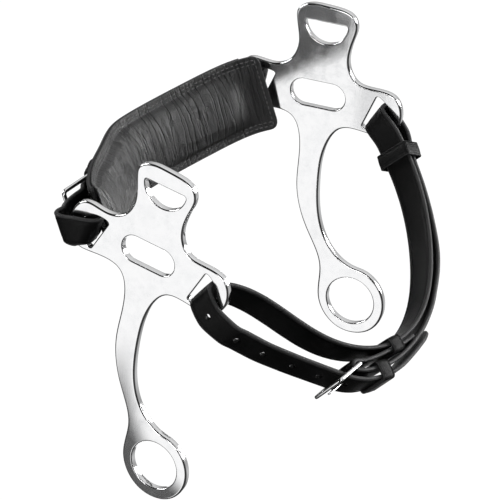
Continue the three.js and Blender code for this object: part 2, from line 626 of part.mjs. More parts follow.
// control rows: centre x, y, z, then width direction x, y, z
const NOSE_STRAP = [
  [80.14, 11.31, -23.07, 0.374, 0.086, 0.924],
  [78.04, 17.97, -22.84, 0.374, 0.086, 0.924],
  [75.81, 24.58, -22.55, 0.374, 0.086, 0.924],
  [74.07, 30.03, -22.36, 0.374, 0.086, 0.924],
  [73.29, 34.31, -22.44, 0.374, 0.086, 0.924],
  [72.56, 38.95, -22.58, 0.374, 0.086, 0.924],
  [70.83, 43.86, -22.34, 0.374, 0.086, 0.924],
  [68.43, 48.69, -21.82, 0.374, 0.086, 0.924],
  [68.52, 57.82, -21.92, 0.374, 0.086, 0.924],
  [67.02, 67.15, -20.6, 0.374, 0.086, 0.924],
  [64.06, 76.67, -18.13, 0.374, 0.086, 0.924],
  [60.77, 84.82, -15.36, 0.374, 0.086, 0.924],
  [61.61, 87.96, -15.66, 0.374, 0.086, 0.924],
  [60.64, 91.64, -15.51, 0.374, 0.086, 0.924],
  [57.92, 93.64, -15.08, 0.356, 0.085, 0.931],
  [54.4, 94.39, -14.48, 0.283, 0.081, 0.956],
  [50.22, 94.79, -13.42, 0.101, 0.068, 0.992],
  [46.31, 94.87, -12.34, -0.128, 0.05, 0.991],
  [43.19, 94.19, -11.67, -0.258, 0.038, 0.966],
  [40.74, 92.56, -11.24, -0.288, 0.035, 0.957],
  [39.68, 89.93, -10.94, -0.288, 0.035, 0.957],
  [39.66, 86.83, -10.88, -0.288, 0.035, 0.957],
  [41.55, 83.78, -11.76, -0.148, 0.048, 0.988],
  [46.55, 80.8, -13.9, 0.115, 0.069, 0.991],
  [49.62, 77.06, -16.85, 0.314, 0.083, 0.946],
  [51.34, 70.29, -16.91, 0.374, 0.086, 0.924],
  [53.51, 63.88, -17.19, 0.374, 0.086, 0.924],
  [58.24, 53.68, -18.16, 0.374, 0.086, 0.924],
  [62.51, 42.12, -18.8, 0.374, 0.086, 0.924],
  [66.07, 30.58, -19.17, 0.374, 0.086, 0.924],
  [69.69, 19.28, -19.58, 0.374, 0.086, 0.924],
  [73.41, 7.64, -20, 0.374, 0.086, 0.924],
  [75.56, -4.98, -19.69, 0.374, 0.086, 0.924],
  [73.37, -17.6, -17.63, 0.374, 0.086, 0.924],
  [69.4, -28.93, -14.97, 0.374, 0.086, 0.924],
  [64.85, -39.84, -12.11, 0.374, 0.086, 0.924],
  [60.01, -50.51, -9.15, 0.374, 0.086, 0.924],
  [55.03, -61.06, -6.15, 0.374, 0.086, 0.924],
  [50.09, -70.74, -3.25, 0.374, 0.086, 0.924],
  [47.57, -77, -1.65, 0.374, 0.086, 0.924],
  [45.31, -83.55, -0.12, 0.328, 0.076, 0.942],
  [41.05, -85.33, 3.41, 0.179, 0.041, 0.983],
  [35.67, -87.96, 6.72, -0.002, -0.001, 1],
  [33.19, -91.07, 8.29, -0.128, -0.03, 0.991],
  [33.2, -94.17, 8.24, -0.128, -0.03, 0.991],
  [34.2, -96.81, 7.79, -0.128, -0.03, 0.991],
  [36.56, -98.43, 6.96, -0.103, -0.024, 0.994],
  [39.52, -99.11, 5.8, -0.002, -0.001, 1],
  [43.2, -99.03, 4.09, 0.169, 0.039, 0.985],
  [47.16, -98.63, 2.37, 0.304, 0.07, 0.95],
  [50.53, -97.88, 1.2, 0.36, 0.083, 0.929],
  [53.13, -95.89, 0.31, 0.374, 0.086, 0.924],
  [54.06, -92.21, -0.01, 0.374, 0.086, 0.924],
  [53.28, -89.06, 0.4, 0.374, 0.086, 0.924],
  [57.66, -82.4, -3.05, 0.374, 0.086, 0.924],
  [61.82, -74.42, -6.52, 0.374, 0.086, 0.924],
  [64.42, -66.29, -9.09, 0.374, 0.086, 0.924],
  [65.3, -57.98, -10.59, 0.374, 0.086, 0.924],
  [68.04, -53.91, -12.08, 0.374, 0.086, 0.924],
  [70.27, -49.51, -13.4, 0.374, 0.086, 0.924],
  [71.56, -45.01, -14.34, 0.374, 0.086, 0.924],
  [72.86, -40.73, -15.27, 0.374, 0.086, 0.924],
  [75.21, -35.13, -16.74, 0.374, 0.086, 0.924],
  [77.82, -28.38, -18.42, 0.374, 0.086, 0.924],
  [80.04, -21.9, -19.93, 0.374, 0.086, 0.924],
];

const noseStrap = strap(NOSE_STRAP, {
  taper: (run, total) => Math.min(tipScale(run, NOSE_TIP), tipScale(total - run, NOSE_TIP)),
});
add("noseband_strap", cut(noseStrap, ...noseHoleTools), LEATHER);

// ---------------------------------------------------------------- curb strap
const CHIN_TIP = 9; // length of the pointed billet end
const CHIN_HEEL = {
  at: vec([-103.99, 44.45, -71.51]),
  along: vec([-0.571, -0.761, -0.309]).normalize(),
  out: vec([-0.549, 0.633, -0.545]).normalize(),
};
const CHIN_BUCKLE_TILT = 38;
const CHIN_TONGUE_LIFT = 1.1;
const CHIN_HUB_SLOT = { width: 4.8, length: 9.5, sink: 1.3 };
// billet holes: strap row, length (0 for a round one); the tongue stands in the long one
const CHIN_HOLES = [[7.15, 8], [8.6, 0], [10.4, 0], [11.95, 0], [14.2, 0], [17, 0]];
const CHIN_HOLE_DEPTH = 7;
// control rows: centre x, y, z, then width direction x, y, z
const CHIN_STRAP = [
  [-119.49, -20.07, -72.82, -0.65, 0.133, 0.748],
  [-119.89, -8.59, -75.11, -0.644, 0.137, 0.753],
  [-120, 5.05, -77.57, -0.636, 0.14, 0.759],
  [-119.39, 17.21, -79.22, -0.63, 0.142, 0.764],
  [-117.5, 28.15, -79.64, -0.624, 0.143, 0.768],
  [-114.25, 38.21, -78.82, -0.618, 0.143, 0.773],
  [-110.37, 46.38, -77.16, -0.612, 0.142, 0.778],
  [-105.29, 53.43, -74.33, -0.607, 0.141, 0.782],
  [-98.51, 60.1, -70.1, -0.601, 0.137, 0.787],
  [-91.51, 66.52, -65.83, -0.595, 0.132, 0.793],
  [-84.31, 72.54, -61.81, -0.591, 0.126, 0.797],
  [-78.7, 76.99, -58.66, -0.587, 0.121, 0.8],
  [-68.02, 85.63, -52.21, -0.583, 0.111, 0.805],
  [-61.1, 90.5, -47.67, -0.581, 0.106, 0.807],
  [-56.4, 93.63, -44.61, -0.582, 0.103, 0.807],
  [-52.68, 96.37, -42.23, -0.586, 0.098, 0.805],
  [-47.35, 98.16, -38.53, -0.585, 0.079, 0.807],
  [-39.6, 99.09, -32.9, -0.577, 0.053, 0.815],
  [-33.43, 99.34, -22.53, -0.576, 0.052, 0.816],
  [-32.77, 94.7, -21.77, -0.576, 0.052, 0.816],
  [-33.9, 90.16, -22.27, -0.576, 0.052, 0.816],
  [-34.98, 83.93, -25.95, -0.583, 0.075, 0.809],
  [-39.43, 77.79, -28.46, -0.585, 0.096, 0.805],
  [-45.29, 71.95, -31.97, -0.582, 0.102, 0.806],
  [-52.56, 66.86, -36.56, -0.581, 0.105, 0.807],
  [-61.8, 62.18, -42.6, -0.582, 0.11, 0.805],
  [-71.18, 58.01, -48.82, -0.586, 0.118, 0.802],
  [-80.37, 53.2, -54.85, -0.592, 0.127, 0.796],
  [-88.98, 46.87, -60.27, -0.6, 0.136, 0.789],
  [-96.63, 38.79, -64.72, -0.609, 0.141, 0.781],
  [-103.02, 29.21, -68.01, -0.618, 0.143, 0.773],
  [-107.87, 18.42, -69.92, -0.627, 0.143, 0.766],
  [-110.92, 6.84, -70.29, -0.635, 0.14, 0.76],
  [-112.25, -5.02, -69.23, -0.642, 0.137, 0.754],
  [-111.9, -16.75, -66.81, -0.649, 0.133, 0.749],
  [-109.97, -28, -63.15, -0.657, 0.127, 0.743],
  [-106.69, -38.54, -58.46, -0.665, 0.119, 0.738],
  [-102.32, -48.26, -52.97, -0.672, 0.109, 0.733],
  [-97.11, -57.2, -46.9, -0.679, 0.097, 0.728],
  [-91.27, -65.42, -40.39, -0.685, 0.082, 0.724],
  [-84.88, -72.9, -33.53, -0.691, 0.066, 0.72],
  [-77.94, -79.48, -26.29, -0.698, 0.047, 0.715],
  [-70.48, -84.96, -18.66, -0.704, 0.026, 0.71],
  [-62.59, -89.19, -10.68, -0.71, 0.003, 0.704],
  [-56.47, -91.5, -4.5, -0.667, -0.022, 0.745],
  [-50.95, -92.95, 1.1, -0.586, -0.041, 0.809],
  [-41.19, -94.53, 9, -0.451, -0.049, 0.891],
  [-40, -99.07, 9.35, -0.451, -0.049, 0.891],
  [-40.73, -103.41, 8.38, -0.451, -0.049, 0.891],
  [-45.81, -104.17, 4.57, -0.451, -0.049, 0.891],
  [-50.38, -104.28, 0.23, -0.451, -0.049, 0.891],
  [-54.31, -103.65, -4.15, -0.563, -0.035, 0.826],
  [-61.73, -94.04, -9.83, -0.711, -0.002, 0.703],
  [-66.01, -90.84, -14.09, -0.708, 0.011, 0.706],
  [-70.73, -88.11, -18.81, -0.704, 0.024, 0.709],
  [-76.6, -84.3, -24.71, -0.7, 0.04, 0.713],
  [-87.3, -75.51, -35.61, -0.691, 0.067, 0.72],
  [-98.32, -63.73, -47.19, -0.681, 0.092, 0.727],
  [-104.75, -53.17, -54.49, -0.673, 0.107, 0.732],
  [-110.29, -39.6, -61.53, -0.664, 0.12, 0.738],
  [-113.06, -31.34, -65.32, -0.658, 0.127, 0.742],
  [-115.87, -17.48, -70.13, -0.649, 0.134, 0.749],
  [-116.74, -7.53, -72.61, -0.643, 0.137, 0.753],
  [-116.86, 3.29, -74.63, -0.637, 0.14, 0.758],
  [-115.91, 15.24, -75.96, -0.63, 0.142, 0.763],
  [-114.07, 25.18, -76.22, -0.624, 0.143, 0.768],
  [-110.82, 35.42, -75.38, -0.618, 0.143, 0.773],
  [-107.71, 42.7, -74.16, -0.613, 0.142, 0.777],
  [-105.05, 46.67, -72.74, -0.61, 0.142, 0.779],
  [-103.95, 47.16, -71.97, -0.61, 0.142, 0.779],
  [-102.87, 46.92, -71.08, -0.61, 0.142, 0.779],
  [-102.09, 46.02, -70.3, -0.61, 0.142, 0.779],
  [-101.82, 44.7, -69.85, -0.61, 0.142, 0.779],
  [-102.13, 43.31, -69.84, -0.61, 0.142, 0.779],
  [-104.36, 39.28, -70.89, -0.613, 0.142, 0.777],
  [-106.23, 34.5, -71.53, -0.616, 0.143, 0.774],
  [-108.5, 26.93, -71.99, -0.621, 0.143, 0.77],
  [-110.05, 20.55, -72.1, -0.626, 0.143, 0.767],
  [-111.9, 13.36, -72.3, -0.631, 0.142, 0.763],
  [-113.6, 5.14, -72.22, -0.636, 0.14, 0.759],
  [-114.8, -4.19, -71.55, -0.641, 0.138, 0.755],
];

const chinCurve = centreLine(CHIN_STRAP);
// strap station at a control row, which may be fractional
function chinStation(row) {
  const t = row / (CHIN_STRAP.length - 1);
  const before = Math.floor(row);
  const [across, next] = [before, before + 1].map((k) => vec(CHIN_STRAP[k].slice(3)));
  across.lerp(next, row - before);
  const along = chinCurve.getTangent(t);
  return { at: chinCurve.getPoint(t), along, out: along.clone().cross(across).normalize() };
}

addBuckle("chin", CHIN_HEEL, CHIN_BUCKLE_TILT, CHIN_TONGUE_LIFT);

const chinStrap = strap(CHIN_STRAP, { taper: (run) => tipScale(run, CHIN_TIP) });
const chinTools = [
  hubSlotTool(CHIN_HEEL, CHIN_HUB_SLOT),
  ...CHIN_HOLES.map(([row, length]) => holeTool(chinStation(row), length, CHIN_HOLE_DEPTH)),
];
add("chin_strap", cut(chinStrap, ...chinTools), LEATHER);

// ---------------------------------------------------------------- curb strap keepers
const CHIN_KEEPER_LENGTH = 9;
// foot of the inside, direction along the strap, direction out, inside sizes
const CHIN_KEEPERS = {
  chin_keeper_left: {
    at: [-111.05, 30.05, -74.71],
    along: [-0.3244, -0.9411, -0.0954],
    out: [-0.7127, 0.3095, -0.6295],
    height: 9.05,
    width: 19.64,
  },
  chin_keeper_centre: {
    at: [-108.44, 11.37, -69.08],
    along: [-0.2327, -0.9724, -0.0137],
    out: [-0.7394, 0.1861, -0.647],
    height: 6.57,
    width: 19.52,
  },
  chin_keeper_right: {
    at: [-58.48, -87.92, -6.63],
    along: [0.6407, -0.4992, 0.5834],
    out: [-0.3477, -0.866, -0.3593],
    height: 11.11,
    width: 20.06,
  },
};
for (const [name, { at, along, out, height, width }] of Object.entries(CHIN_KEEPERS)) {
  const station = { at: vec(at), along: vec(along).normalize(), out: vec(out).normalize() };
  const ring = keeperRing({ width, height, length: CHIN_KEEPER_LENGTH });
  addStanding(name, ring, LEATHER, strapFrame(station));
}

export default root;
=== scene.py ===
"""A horse's bitless bridle: two steel cheek plates joined by a padded noseband and a chin strap.

The noseband points to +X and the chin strap to -X, the left plate is on +Y, and Z is up.
Sizes are millimetres in the construction frame; meshes are metres in the scene frame, which
has its zero at ORIGIN. "edge" on a leather vertex is 1 on a rim and 0 on the open face; the leather
is lighter where it is high, partly as wear and partly as a painted highlight.
"""
import math
from types import SimpleNamespace

import bmesh
import bpy
import numpy as np
from mathutils import Matrix, Vector


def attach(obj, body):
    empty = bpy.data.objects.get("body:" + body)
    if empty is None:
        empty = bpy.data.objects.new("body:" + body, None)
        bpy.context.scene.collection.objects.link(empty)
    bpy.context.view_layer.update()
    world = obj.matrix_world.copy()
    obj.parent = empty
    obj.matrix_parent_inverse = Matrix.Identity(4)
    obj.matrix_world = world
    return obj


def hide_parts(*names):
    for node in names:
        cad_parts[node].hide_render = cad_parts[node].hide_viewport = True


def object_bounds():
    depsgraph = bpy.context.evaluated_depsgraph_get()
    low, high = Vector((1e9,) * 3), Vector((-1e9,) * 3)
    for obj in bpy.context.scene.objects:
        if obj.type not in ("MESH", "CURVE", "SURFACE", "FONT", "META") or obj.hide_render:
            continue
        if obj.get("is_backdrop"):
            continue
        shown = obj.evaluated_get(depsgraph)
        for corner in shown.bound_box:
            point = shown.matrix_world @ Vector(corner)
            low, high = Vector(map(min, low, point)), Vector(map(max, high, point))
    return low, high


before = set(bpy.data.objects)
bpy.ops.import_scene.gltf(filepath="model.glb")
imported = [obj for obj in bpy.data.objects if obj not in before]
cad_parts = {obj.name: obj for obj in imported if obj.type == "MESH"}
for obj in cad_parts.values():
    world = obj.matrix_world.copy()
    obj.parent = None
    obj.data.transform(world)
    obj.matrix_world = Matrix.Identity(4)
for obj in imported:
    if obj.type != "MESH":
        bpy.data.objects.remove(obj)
cad_low, cad_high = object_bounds()
scene = bpy.context.scene

# ------------------------------------------------------------------ main dimensions
ORIGIN = np.array([-20.66, -2.16, -48.26])
PLATE_THICK = 4.3
STRAP_WIDTH, STRAP_THICK = 18.8, 2.4
CHAPE_THICK = 1.5
PAD_WIDTH, PAD_BULGE, LINING_THICK, BACKING_THICK = 47.5, 8.65, 1.2, 2.2
PAD_HALF = PAD_WIDTH / 2
SKIN_GAP = 0.15  # between the arch line and the leather on either side of it
WIRE_RADIUS, BUCKLE_LENGTH, BUCKLE_WIDTH = 1.3, 22.0, 26.6

# the noseband's arch: (sideways from left to right, forwards) in the NOSE_ axes
ARCH = np.array([
    [9.2, 0.5], [12.04, 5.74], [16.2, 10.02], [21.02, 13.57], [26.07, 16.79], [31.23, 19.82],
    [36.51, 22.64], [41.91, 25.21], [47.43, 27.53], [53.02, 29.69], [58.62, 31.78],
    [64.22, 33.9], [69.77, 36.14], [75.31, 38.4], [80.92, 40.51], [86.64, 42.24],
    [92.55, 43.17], [98.51, 42.77], [104.33, 41.39], [110.05, 39.63], [115.7, 37.65],
    [121.28, 35.5], [126.82, 33.23], [132.33, 30.88], [137.81, 28.48], [143.27, 26.03],
    [148.73, 23.56], [154.14, 21.01], [159.46, 18.26], [164.59, 15.19], [169.4, 11.63],
    [173.56, 7.33], [176.6, 2.2],
])
ARCH_LENGTH = 191.545
NOSE_AT = np.array([35.282, 90.211, -12.273])
NOSE_SIDE = np.array([-0.03571, -0.9936, 0.10715])
NOSE_FORWARD = np.array([0.92683, -0.07303, -0.3683])
NOSE_UP = np.array([0.37377, 0.08616, 0.92351])
PAD_START, PAD_END = 2.0, ARCH_LENGTH + 6.0
BACKING_START, BACKING_END = PAD_START + 2.5, ARCH_LENGTH - 5.5
PAD_CORNER = 4.5  # corner radius at the pad's right end
HEEL_ALONG, HEEL_OUT = 54.0, 8.6  # the nose buckles' heel bars, along and outside the arch

# strap centre lines: x, y, z, then the direction across the strap
UP = (0.374, 0.086, 0.924)
NOSE_STRAP = np.array([
    [80.14, 11.31, -23.07, *UP], [78.04, 17.97, -22.84, *UP], [75.81, 24.58, -22.55, *UP],
    [74.07, 30.03, -22.36, *UP], [73.29, 34.31, -22.44, *UP], [72.56, 38.95, -22.58, *UP],
    [70.83, 43.86, -22.34, *UP], [68.43, 48.69, -21.82, *UP], [68.52, 57.82, -21.92, *UP],
    [67.02, 67.15, -20.6, *UP], [64.06, 76.67, -18.13, *UP], [60.77, 84.82, -15.36, *UP],
    [61.61, 87.96, -15.66, *UP], [60.64, 91.64, -15.51, *UP],
    [57.92, 93.64, -15.08, 0.356, 0.085, 0.931], [54.4, 94.39, -14.48, 0.283, 0.081, 0.956],
    [50.22, 94.79, -13.42, 0.101, 0.068, 0.992], [46.31, 94.87, -12.34, -0.128, 0.05, 0.991],
    [43.19, 94.19, -11.67, -0.258, 0.038, 0.966], [40.74, 92.56, -11.24, -0.288, 0.035, 0.957],
    [39.68, 89.93, -10.94, -0.288, 0.035, 0.957], [39.66, 86.83, -10.88, -0.288, 0.035, 0.957],
    [41.55, 83.78, -11.76, -0.148, 0.048, 0.988], [46.55, 80.8, -13.9, 0.115, 0.069, 0.991],
    [49.62, 77.06, -16.85, 0.314, 0.083, 0.946], [51.34, 70.29, -16.91, *UP],
    [53.51, 63.88, -17.19, *UP], [58.24, 53.68, -18.16, *UP], [62.51, 42.12, -18.8, *UP],
    [66.07, 30.58, -19.17, *UP], [69.69, 19.28, -19.58, *UP], [73.41, 7.64, -20, *UP],
    [75.56, -4.98, -19.69, *UP], [73.37, -17.6, -17.63, *UP], [69.4, -28.93, -14.97, *UP],
    [64.85, -39.84, -12.11, *UP], [60.01, -50.51, -9.15, *UP], [55.03, -61.06, -6.15, *UP],
    [50.09, -70.74, -3.25, *UP], [47.57, -77, -1.65, *UP],
    [45.31, -83.55, -0.12, 0.328, 0.076, 0.942], [41.05, -85.33, 3.41, 0.179, 0.041, 0.983],
    [35.67, -87.96, 6.72, -0.002, -0.001, 1], [33.19, -91.07, 8.29, -0.128, -0.03, 0.991],
    [33.2, -94.17, 8.24, -0.128, -0.03, 0.991], [34.2, -96.81, 7.79, -0.128, -0.03, 0.991],
    [36.56, -98.43, 6.96, -0.103, -0.024, 0.994], [39.52, -99.11, 5.8, -0.002, -0.001, 1],
    [43.2, -99.03, 4.09, 0.169, 0.039, 0.985], [47.16, -98.63, 2.37, 0.304, 0.07, 0.95],
    [50.53, -97.88, 1.2, 0.36, 0.083, 0.929], [53.13, -95.89, 0.31, *UP],
    [54.06, -92.21, -0.01, *UP], [53.28, -89.06, 0.4, *UP], [57.66, -82.4, -3.05, *UP],
    [61.82, -74.42, -6.52, *UP], [64.42, -66.29, -9.09, *UP], [65.3, -57.98, -10.59, *UP],
    [68.04, -53.91, -12.08, *UP], [70.27, -49.51, -13.4, *UP], [71.56, -45.01, -14.34, *UP],
    [72.86, -40.73, -15.27, *UP], [75.21, -35.13, -16.74, *UP], [77.82, -28.38, -18.42, *UP],
    [80.04, -21.9, -19.93, *UP],
])
CHIN_STRAP = np.array([
    [-119.49, -20.07, -72.82, -0.65, 0.133, 0.748], [-119.89, -8.59, -75.11, -0.644, 0.137, 0.753],
    [-120, 5.05, -77.57, -0.636, 0.14, 0.759], [-119.39, 17.21, -79.22, -0.63, 0.142, 0.764],
    [-117.5, 28.15, -79.64, -0.624, 0.143, 0.768], [-114.25, 38.21, -78.82, -0.618, 0.143, 0.773],
    [-110.37, 46.38, -77.16, -0.612, 0.142, 0.778], [-105.29, 53.43, -74.33, -0.607, 0.141, 0.782],
    [-98.51, 60.1, -70.1, -0.601, 0.137, 0.787], [-91.51, 66.52, -65.83, -0.595, 0.132, 0.793],
    [-84.31, 72.54, -61.81, -0.591, 0.126, 0.797], [-78.7, 76.99, -58.66, -0.587, 0.121, 0.8],
    [-68.02, 85.63, -52.21, -0.583, 0.111, 0.805], [-61.1, 90.5, -47.67, -0.581, 0.106, 0.807],
    [-56.4, 93.63, -44.61, -0.582, 0.103, 0.807], [-52.68, 96.37, -42.23, -0.586, 0.098, 0.805],
    [-47.35, 98.16, -38.53, -0.585, 0.079, 0.807], [-39.6, 99.09, -32.9, -0.577, 0.053, 0.815],
    [-33.43, 99.34, -22.53, -0.576, 0.052, 0.816], [-32.77, 94.7, -21.77, -0.576, 0.052, 0.816],
    [-33.9, 90.16, -22.27, -0.576, 0.052, 0.816], [-34.98, 83.93, -25.95, -0.583, 0.075, 0.809],
    [-39.43, 77.79, -28.46, -0.585, 0.096, 0.805], [-45.29, 71.95, -31.97, -0.582, 0.102, 0.806],
    [-52.56, 66.86, -36.56, -0.581, 0.105, 0.807], [-61.8, 62.18, -42.6, -0.582, 0.11, 0.805],
    [-71.18, 58.01, -48.82, -0.586, 0.118, 0.802], [-80.37, 53.2, -54.85, -0.592, 0.127, 0.796],
    [-88.98, 46.87, -60.27, -0.6, 0.136, 0.789], [-96.63, 38.79, -64.72, -0.609, 0.141, 0.781],
    [-103.02, 29.21, -68.01, -0.618, 0.143, 0.773], [-107.87, 18.42, -69.92, -0.627, 0.143, 0.766],
    [-110.92, 6.84, -70.29, -0.635, 0.14, 0.76], [-112.25, -5.02, -69.23, -0.642, 0.137, 0.754],
    [-111.9, -16.75, -66.81, -0.649, 0.133, 0.749], [-109.97, -28, -63.15, -0.657, 0.127, 0.743],
    [-106.69, -38.54, -58.46, -0.665, 0.119, 0.738],
    [-102.32, -48.26, -52.97, -0.672, 0.109, 0.733], [-97.11, -57.2, -46.9, -0.679, 0.097, 0.728],
    [-91.27, -65.42, -40.39, -0.685, 0.082, 0.724], [-84.88, -72.9, -33.53, -0.691, 0.066, 0.72],
    [-77.94, -79.48, -26.29, -0.698, 0.047, 0.715], [-70.48, -84.96, -18.66, -0.704, 0.026, 0.71],
    [-62.59, -89.19, -10.68, -0.71, 0.003, 0.704], [-56.47, -91.5, -4.5, -0.667, -0.022, 0.745],
    [-50.95, -92.95, 1.1, -0.586, -0.041, 0.809], [-41.19, -94.53, 9, -0.451, -0.049, 0.891],
    [-40, -99.07, 9.35, -0.451, -0.049, 0.891], [-40.73, -103.41, 8.38, -0.451, -0.049, 0.891],
    [-45.81, -104.17, 4.57, -0.451, -0.049, 0.891],
    [-50.38, -104.28, 0.23, -0.451, -0.049, 0.891],
    [-54.31, -103.65, -4.15, -0.563, -0.035, 0.826],
    [-61.73, -94.04, -9.83, -0.711, -0.002, 0.703], [-66.01, -90.84, -14.09, -0.708, 0.011, 0.706],
    [-70.73, -88.11, -18.81, -0.704, 0.024, 0.709], [-76.6, -84.3, -24.71, -0.7, 0.04, 0.713],
    [-87.3, -75.51, -35.61, -0.691, 0.067, 0.72], [-98.32, -63.73, -47.19, -0.681, 0.092, 0.727],
    [-104.75, -53.17, -54.49, -0.673, 0.107, 0.732], [-110.29, -39.6, -61.53, -0.664, 0.12, 0.738],
    [-113.06, -31.34, -65.32, -0.658, 0.127, 0.742],
    [-115.87, -17.48, -70.13, -0.649, 0.134, 0.749], [-116.74, -7.53, -72.61, -0.643, 0.137, 0.753],
    [-116.86, 3.29, -74.63, -0.637, 0.14, 0.758], [-115.91, 15.24, -75.96, -0.63, 0.142, 0.763],
    [-114.07, 25.18, -76.22, -0.624, 0.143, 0.768], [-110.82, 35.42, -75.38, -0.618, 0.143, 0.773],
    [-107.71, 42.7, -74.16, -0.613, 0.142, 0.777], [-105.05, 46.67, -72.74, -0.61, 0.142, 0.779],
    [-103.95, 47.16, -71.97, -0.61, 0.142, 0.779], [-102.87, 46.92, -71.08, -0.61, 0.142, 0.779],
    [-102.09, 46.02, -70.3, -0.61, 0.142, 0.779], [-101.82, 44.7, -69.85, -0.61, 0.142, 0.779],
    [-102.13, 43.31, -69.84, -0.61, 0.142, 0.779], [-104.36, 39.28, -70.89, -0.613, 0.142, 0.777],
    [-106.23, 34.5, -71.53, -0.616, 0.143, 0.774], [-108.5, 26.93, -71.99, -0.621, 0.143, 0.77],
    [-110.05, 20.55, -72.1, -0.626, 0.143, 0.767], [-111.9, 13.36, -72.3, -0.631, 0.142, 0.763],
    [-113.6, 5.14, -72.22, -0.636, 0.14, 0.759], [-114.8, -4.19, -71.55, -0.641, 0.138, 0.755],
])


# ------------------------------------------------------------------ curves
def to_scene(points):
    """Construction millimetres to scene metres."""
    return (np.asarray(points, float) - ORIGIN) / 1000.0


def unit(vectors):
    vectors = np.asarray(vectors, float)
    return vectors / np.maximum(np.linalg.norm(vectors, axis=-1, keepdims=True), 1e-12)


def smoothstep(x):
    x = np.clip(x, 0, 1)
    return x * x * (3 - 2 * x)


def signed_power(value, power):
    """Squares off a cosine or sine when the power is below 1."""
    return np.copysign(np.abs(value) ** power, value)


def catmull_rom(rows, at, centripetal=True):
    """Points and tangents of a curve through the rows, at fractional row numbers."""
    rows = np.asarray(rows, float)
    i = np.clip(np.floor(at).astype(int), 0, len(rows) - 2)
    u = (at - i)[:, None]
    padded = np.vstack([2 * rows[0] - rows[1], rows, 2 * rows[-1] - rows[-2]])
    p0, p1, p2, p3 = (padded[i + k] for k in range(4))
    if centripetal:
        def knot(a, b):
            return np.maximum(np.sqrt(np.linalg.norm(a - b, axis=1)), 1e-4)[:, None]

        d0, d1, d2 = knot(p1, p0), knot(p2, p1), knot(p3, p2)
        m1 = ((p1 - p0) / d0 - (p2 - p0) / (d0 + d1) + (p2 - p1) / d1) * d1
        m2 = ((p2 - p1) / d1 - (p3 - p1) / (d1 + d2) + (p3 - p2) / d2) * d1
    else:
        m1, m2 = 0.5 * (p2 - p0), 0.5 * (p3 - p1)
    points = (2 * u**3 - 3 * u**2 + 1) * p1 + (u**3 - 2 * u**2 + u) * m1
    points = points + (-2 * u**3 + 3 * u**2) * p2 + (u**3 - u**2) * m2
    tangents = (6 * u**2 - 6 * u) * p1 + (3 * u**2 - 4 * u + 1) * m1
    tangents = tangents + (-6 * u**2 + 6 * u) * p2 + (3 * u**2 - 2 * u) * m2
    return points, tangents


def row_numbers(rows, per_row):
    return np.linspace(0, len(rows) - 1, (len(rows) - 1) * per_row + 1)


class Ribbon:
    """A strap's centre line with its frame, sampled evenly along its length."""

    def __init__(self, rows, step):
        self.fine_row = row_numbers(rows, 12)
        fine, _ = catmull_rom(rows[:, :3], self.fine_row)
        self.fine_s = np.r_[0, np.cumsum(np.linalg.norm(np.diff(fine, axis=0), axis=1))]
        self.length = self.fine_s[-1]
        self.s = np.linspace(0, self.length, int(round(self.length / step)) + 1)
        at = np.interp(self.s, self.fine_s, self.fine_row)
        self.points, tangents = catmull_rom(rows[:, :3], at)
        self.along = unit(tangents)
        self.across = unit(catmull_rom(rows[:, 3:], at, centripetal=False)[0])
        self.normals = unit(np.cross(self.along, self.across))

    def at_row(self, row):
        """Distance along the ribbon of a fractional table row."""
        return float(np.interp(row, self.fine_row, self.fine_s))

    def nearest(self, point, low, high):
        """Distance along the ribbon of the sample nearest a point, between two distances."""
        inside = (self.s >= low) & (self.s <= high)
        return self.s[inside][np.argmin(np.linalg.norm(self.points[inside] - point, axis=1))]

    def frame(self, s):
        """Point, then unit directions along, across and normal."""
        k = np.interp(s, self.s, np.arange(len(self.s)))
        i = min(int(k), len(self.s) - 2)
        u = k - i

        def mix(a):
            return a[i] * (1 - u) + a[i + 1] * u

        directions = (self.along, self.across, self.normals)
        return mix(self.points), *(unit(mix(a)) for a in directions)


_arch_at = row_numbers(ARCH, 20)
ARCH_S = _arch_at / (len(ARCH) - 1) * ARCH_LENGTH
ARCH_POINTS, _arch_tangents = catmull_rom(ARCH, _arch_at)
ARCH_ALONG = unit(_arch_tangents)


def nose(s, out=0.0, up=0.0):
    """Points at length s from the arch's left end, out of the arch and up across the pad."""
    s, out, up = np.broadcast_arrays(np.asarray(s, float), out, up)
    inside = np.clip(s, 0, ARCH_LENGTH)
    p = np.stack([np.interp(inside, ARCH_S, ARCH_POINTS[:, k]) for k in (0, 1)], -1)
    d = unit(np.stack([np.interp(inside, ARCH_S, ARCH_ALONG[:, k]) for k in (0, 1)], -1))
    p = p + d * (s - inside)[..., None]
    side = p[..., 0] - d[..., 1] * out
    forward = p[..., 1] + d[..., 0] * out
    planar = side[..., None] * NOSE_SIDE + forward[..., None] * NOSE_FORWARD
    return NOSE_AT + planar + up[..., None] * NOSE_UP


def arch_from(side, s):
    """Arch length measured from the left or from the right end."""
    return s if side == "left" else ARCH_LENGTH - s


# ------------------------------------------------------------------ meshes
def new_object(name, verts=(), faces=()):
    mesh = bpy.data.meshes.new(name)
    faces = [tuple(int(i) for i in face) for face in faces]
    mesh.from_pydata([tuple(v) for v in verts], [], faces)
    ob = bpy.data.objects.new(name, mesh)
    scene.collection.objects.link(ob)
    return ob


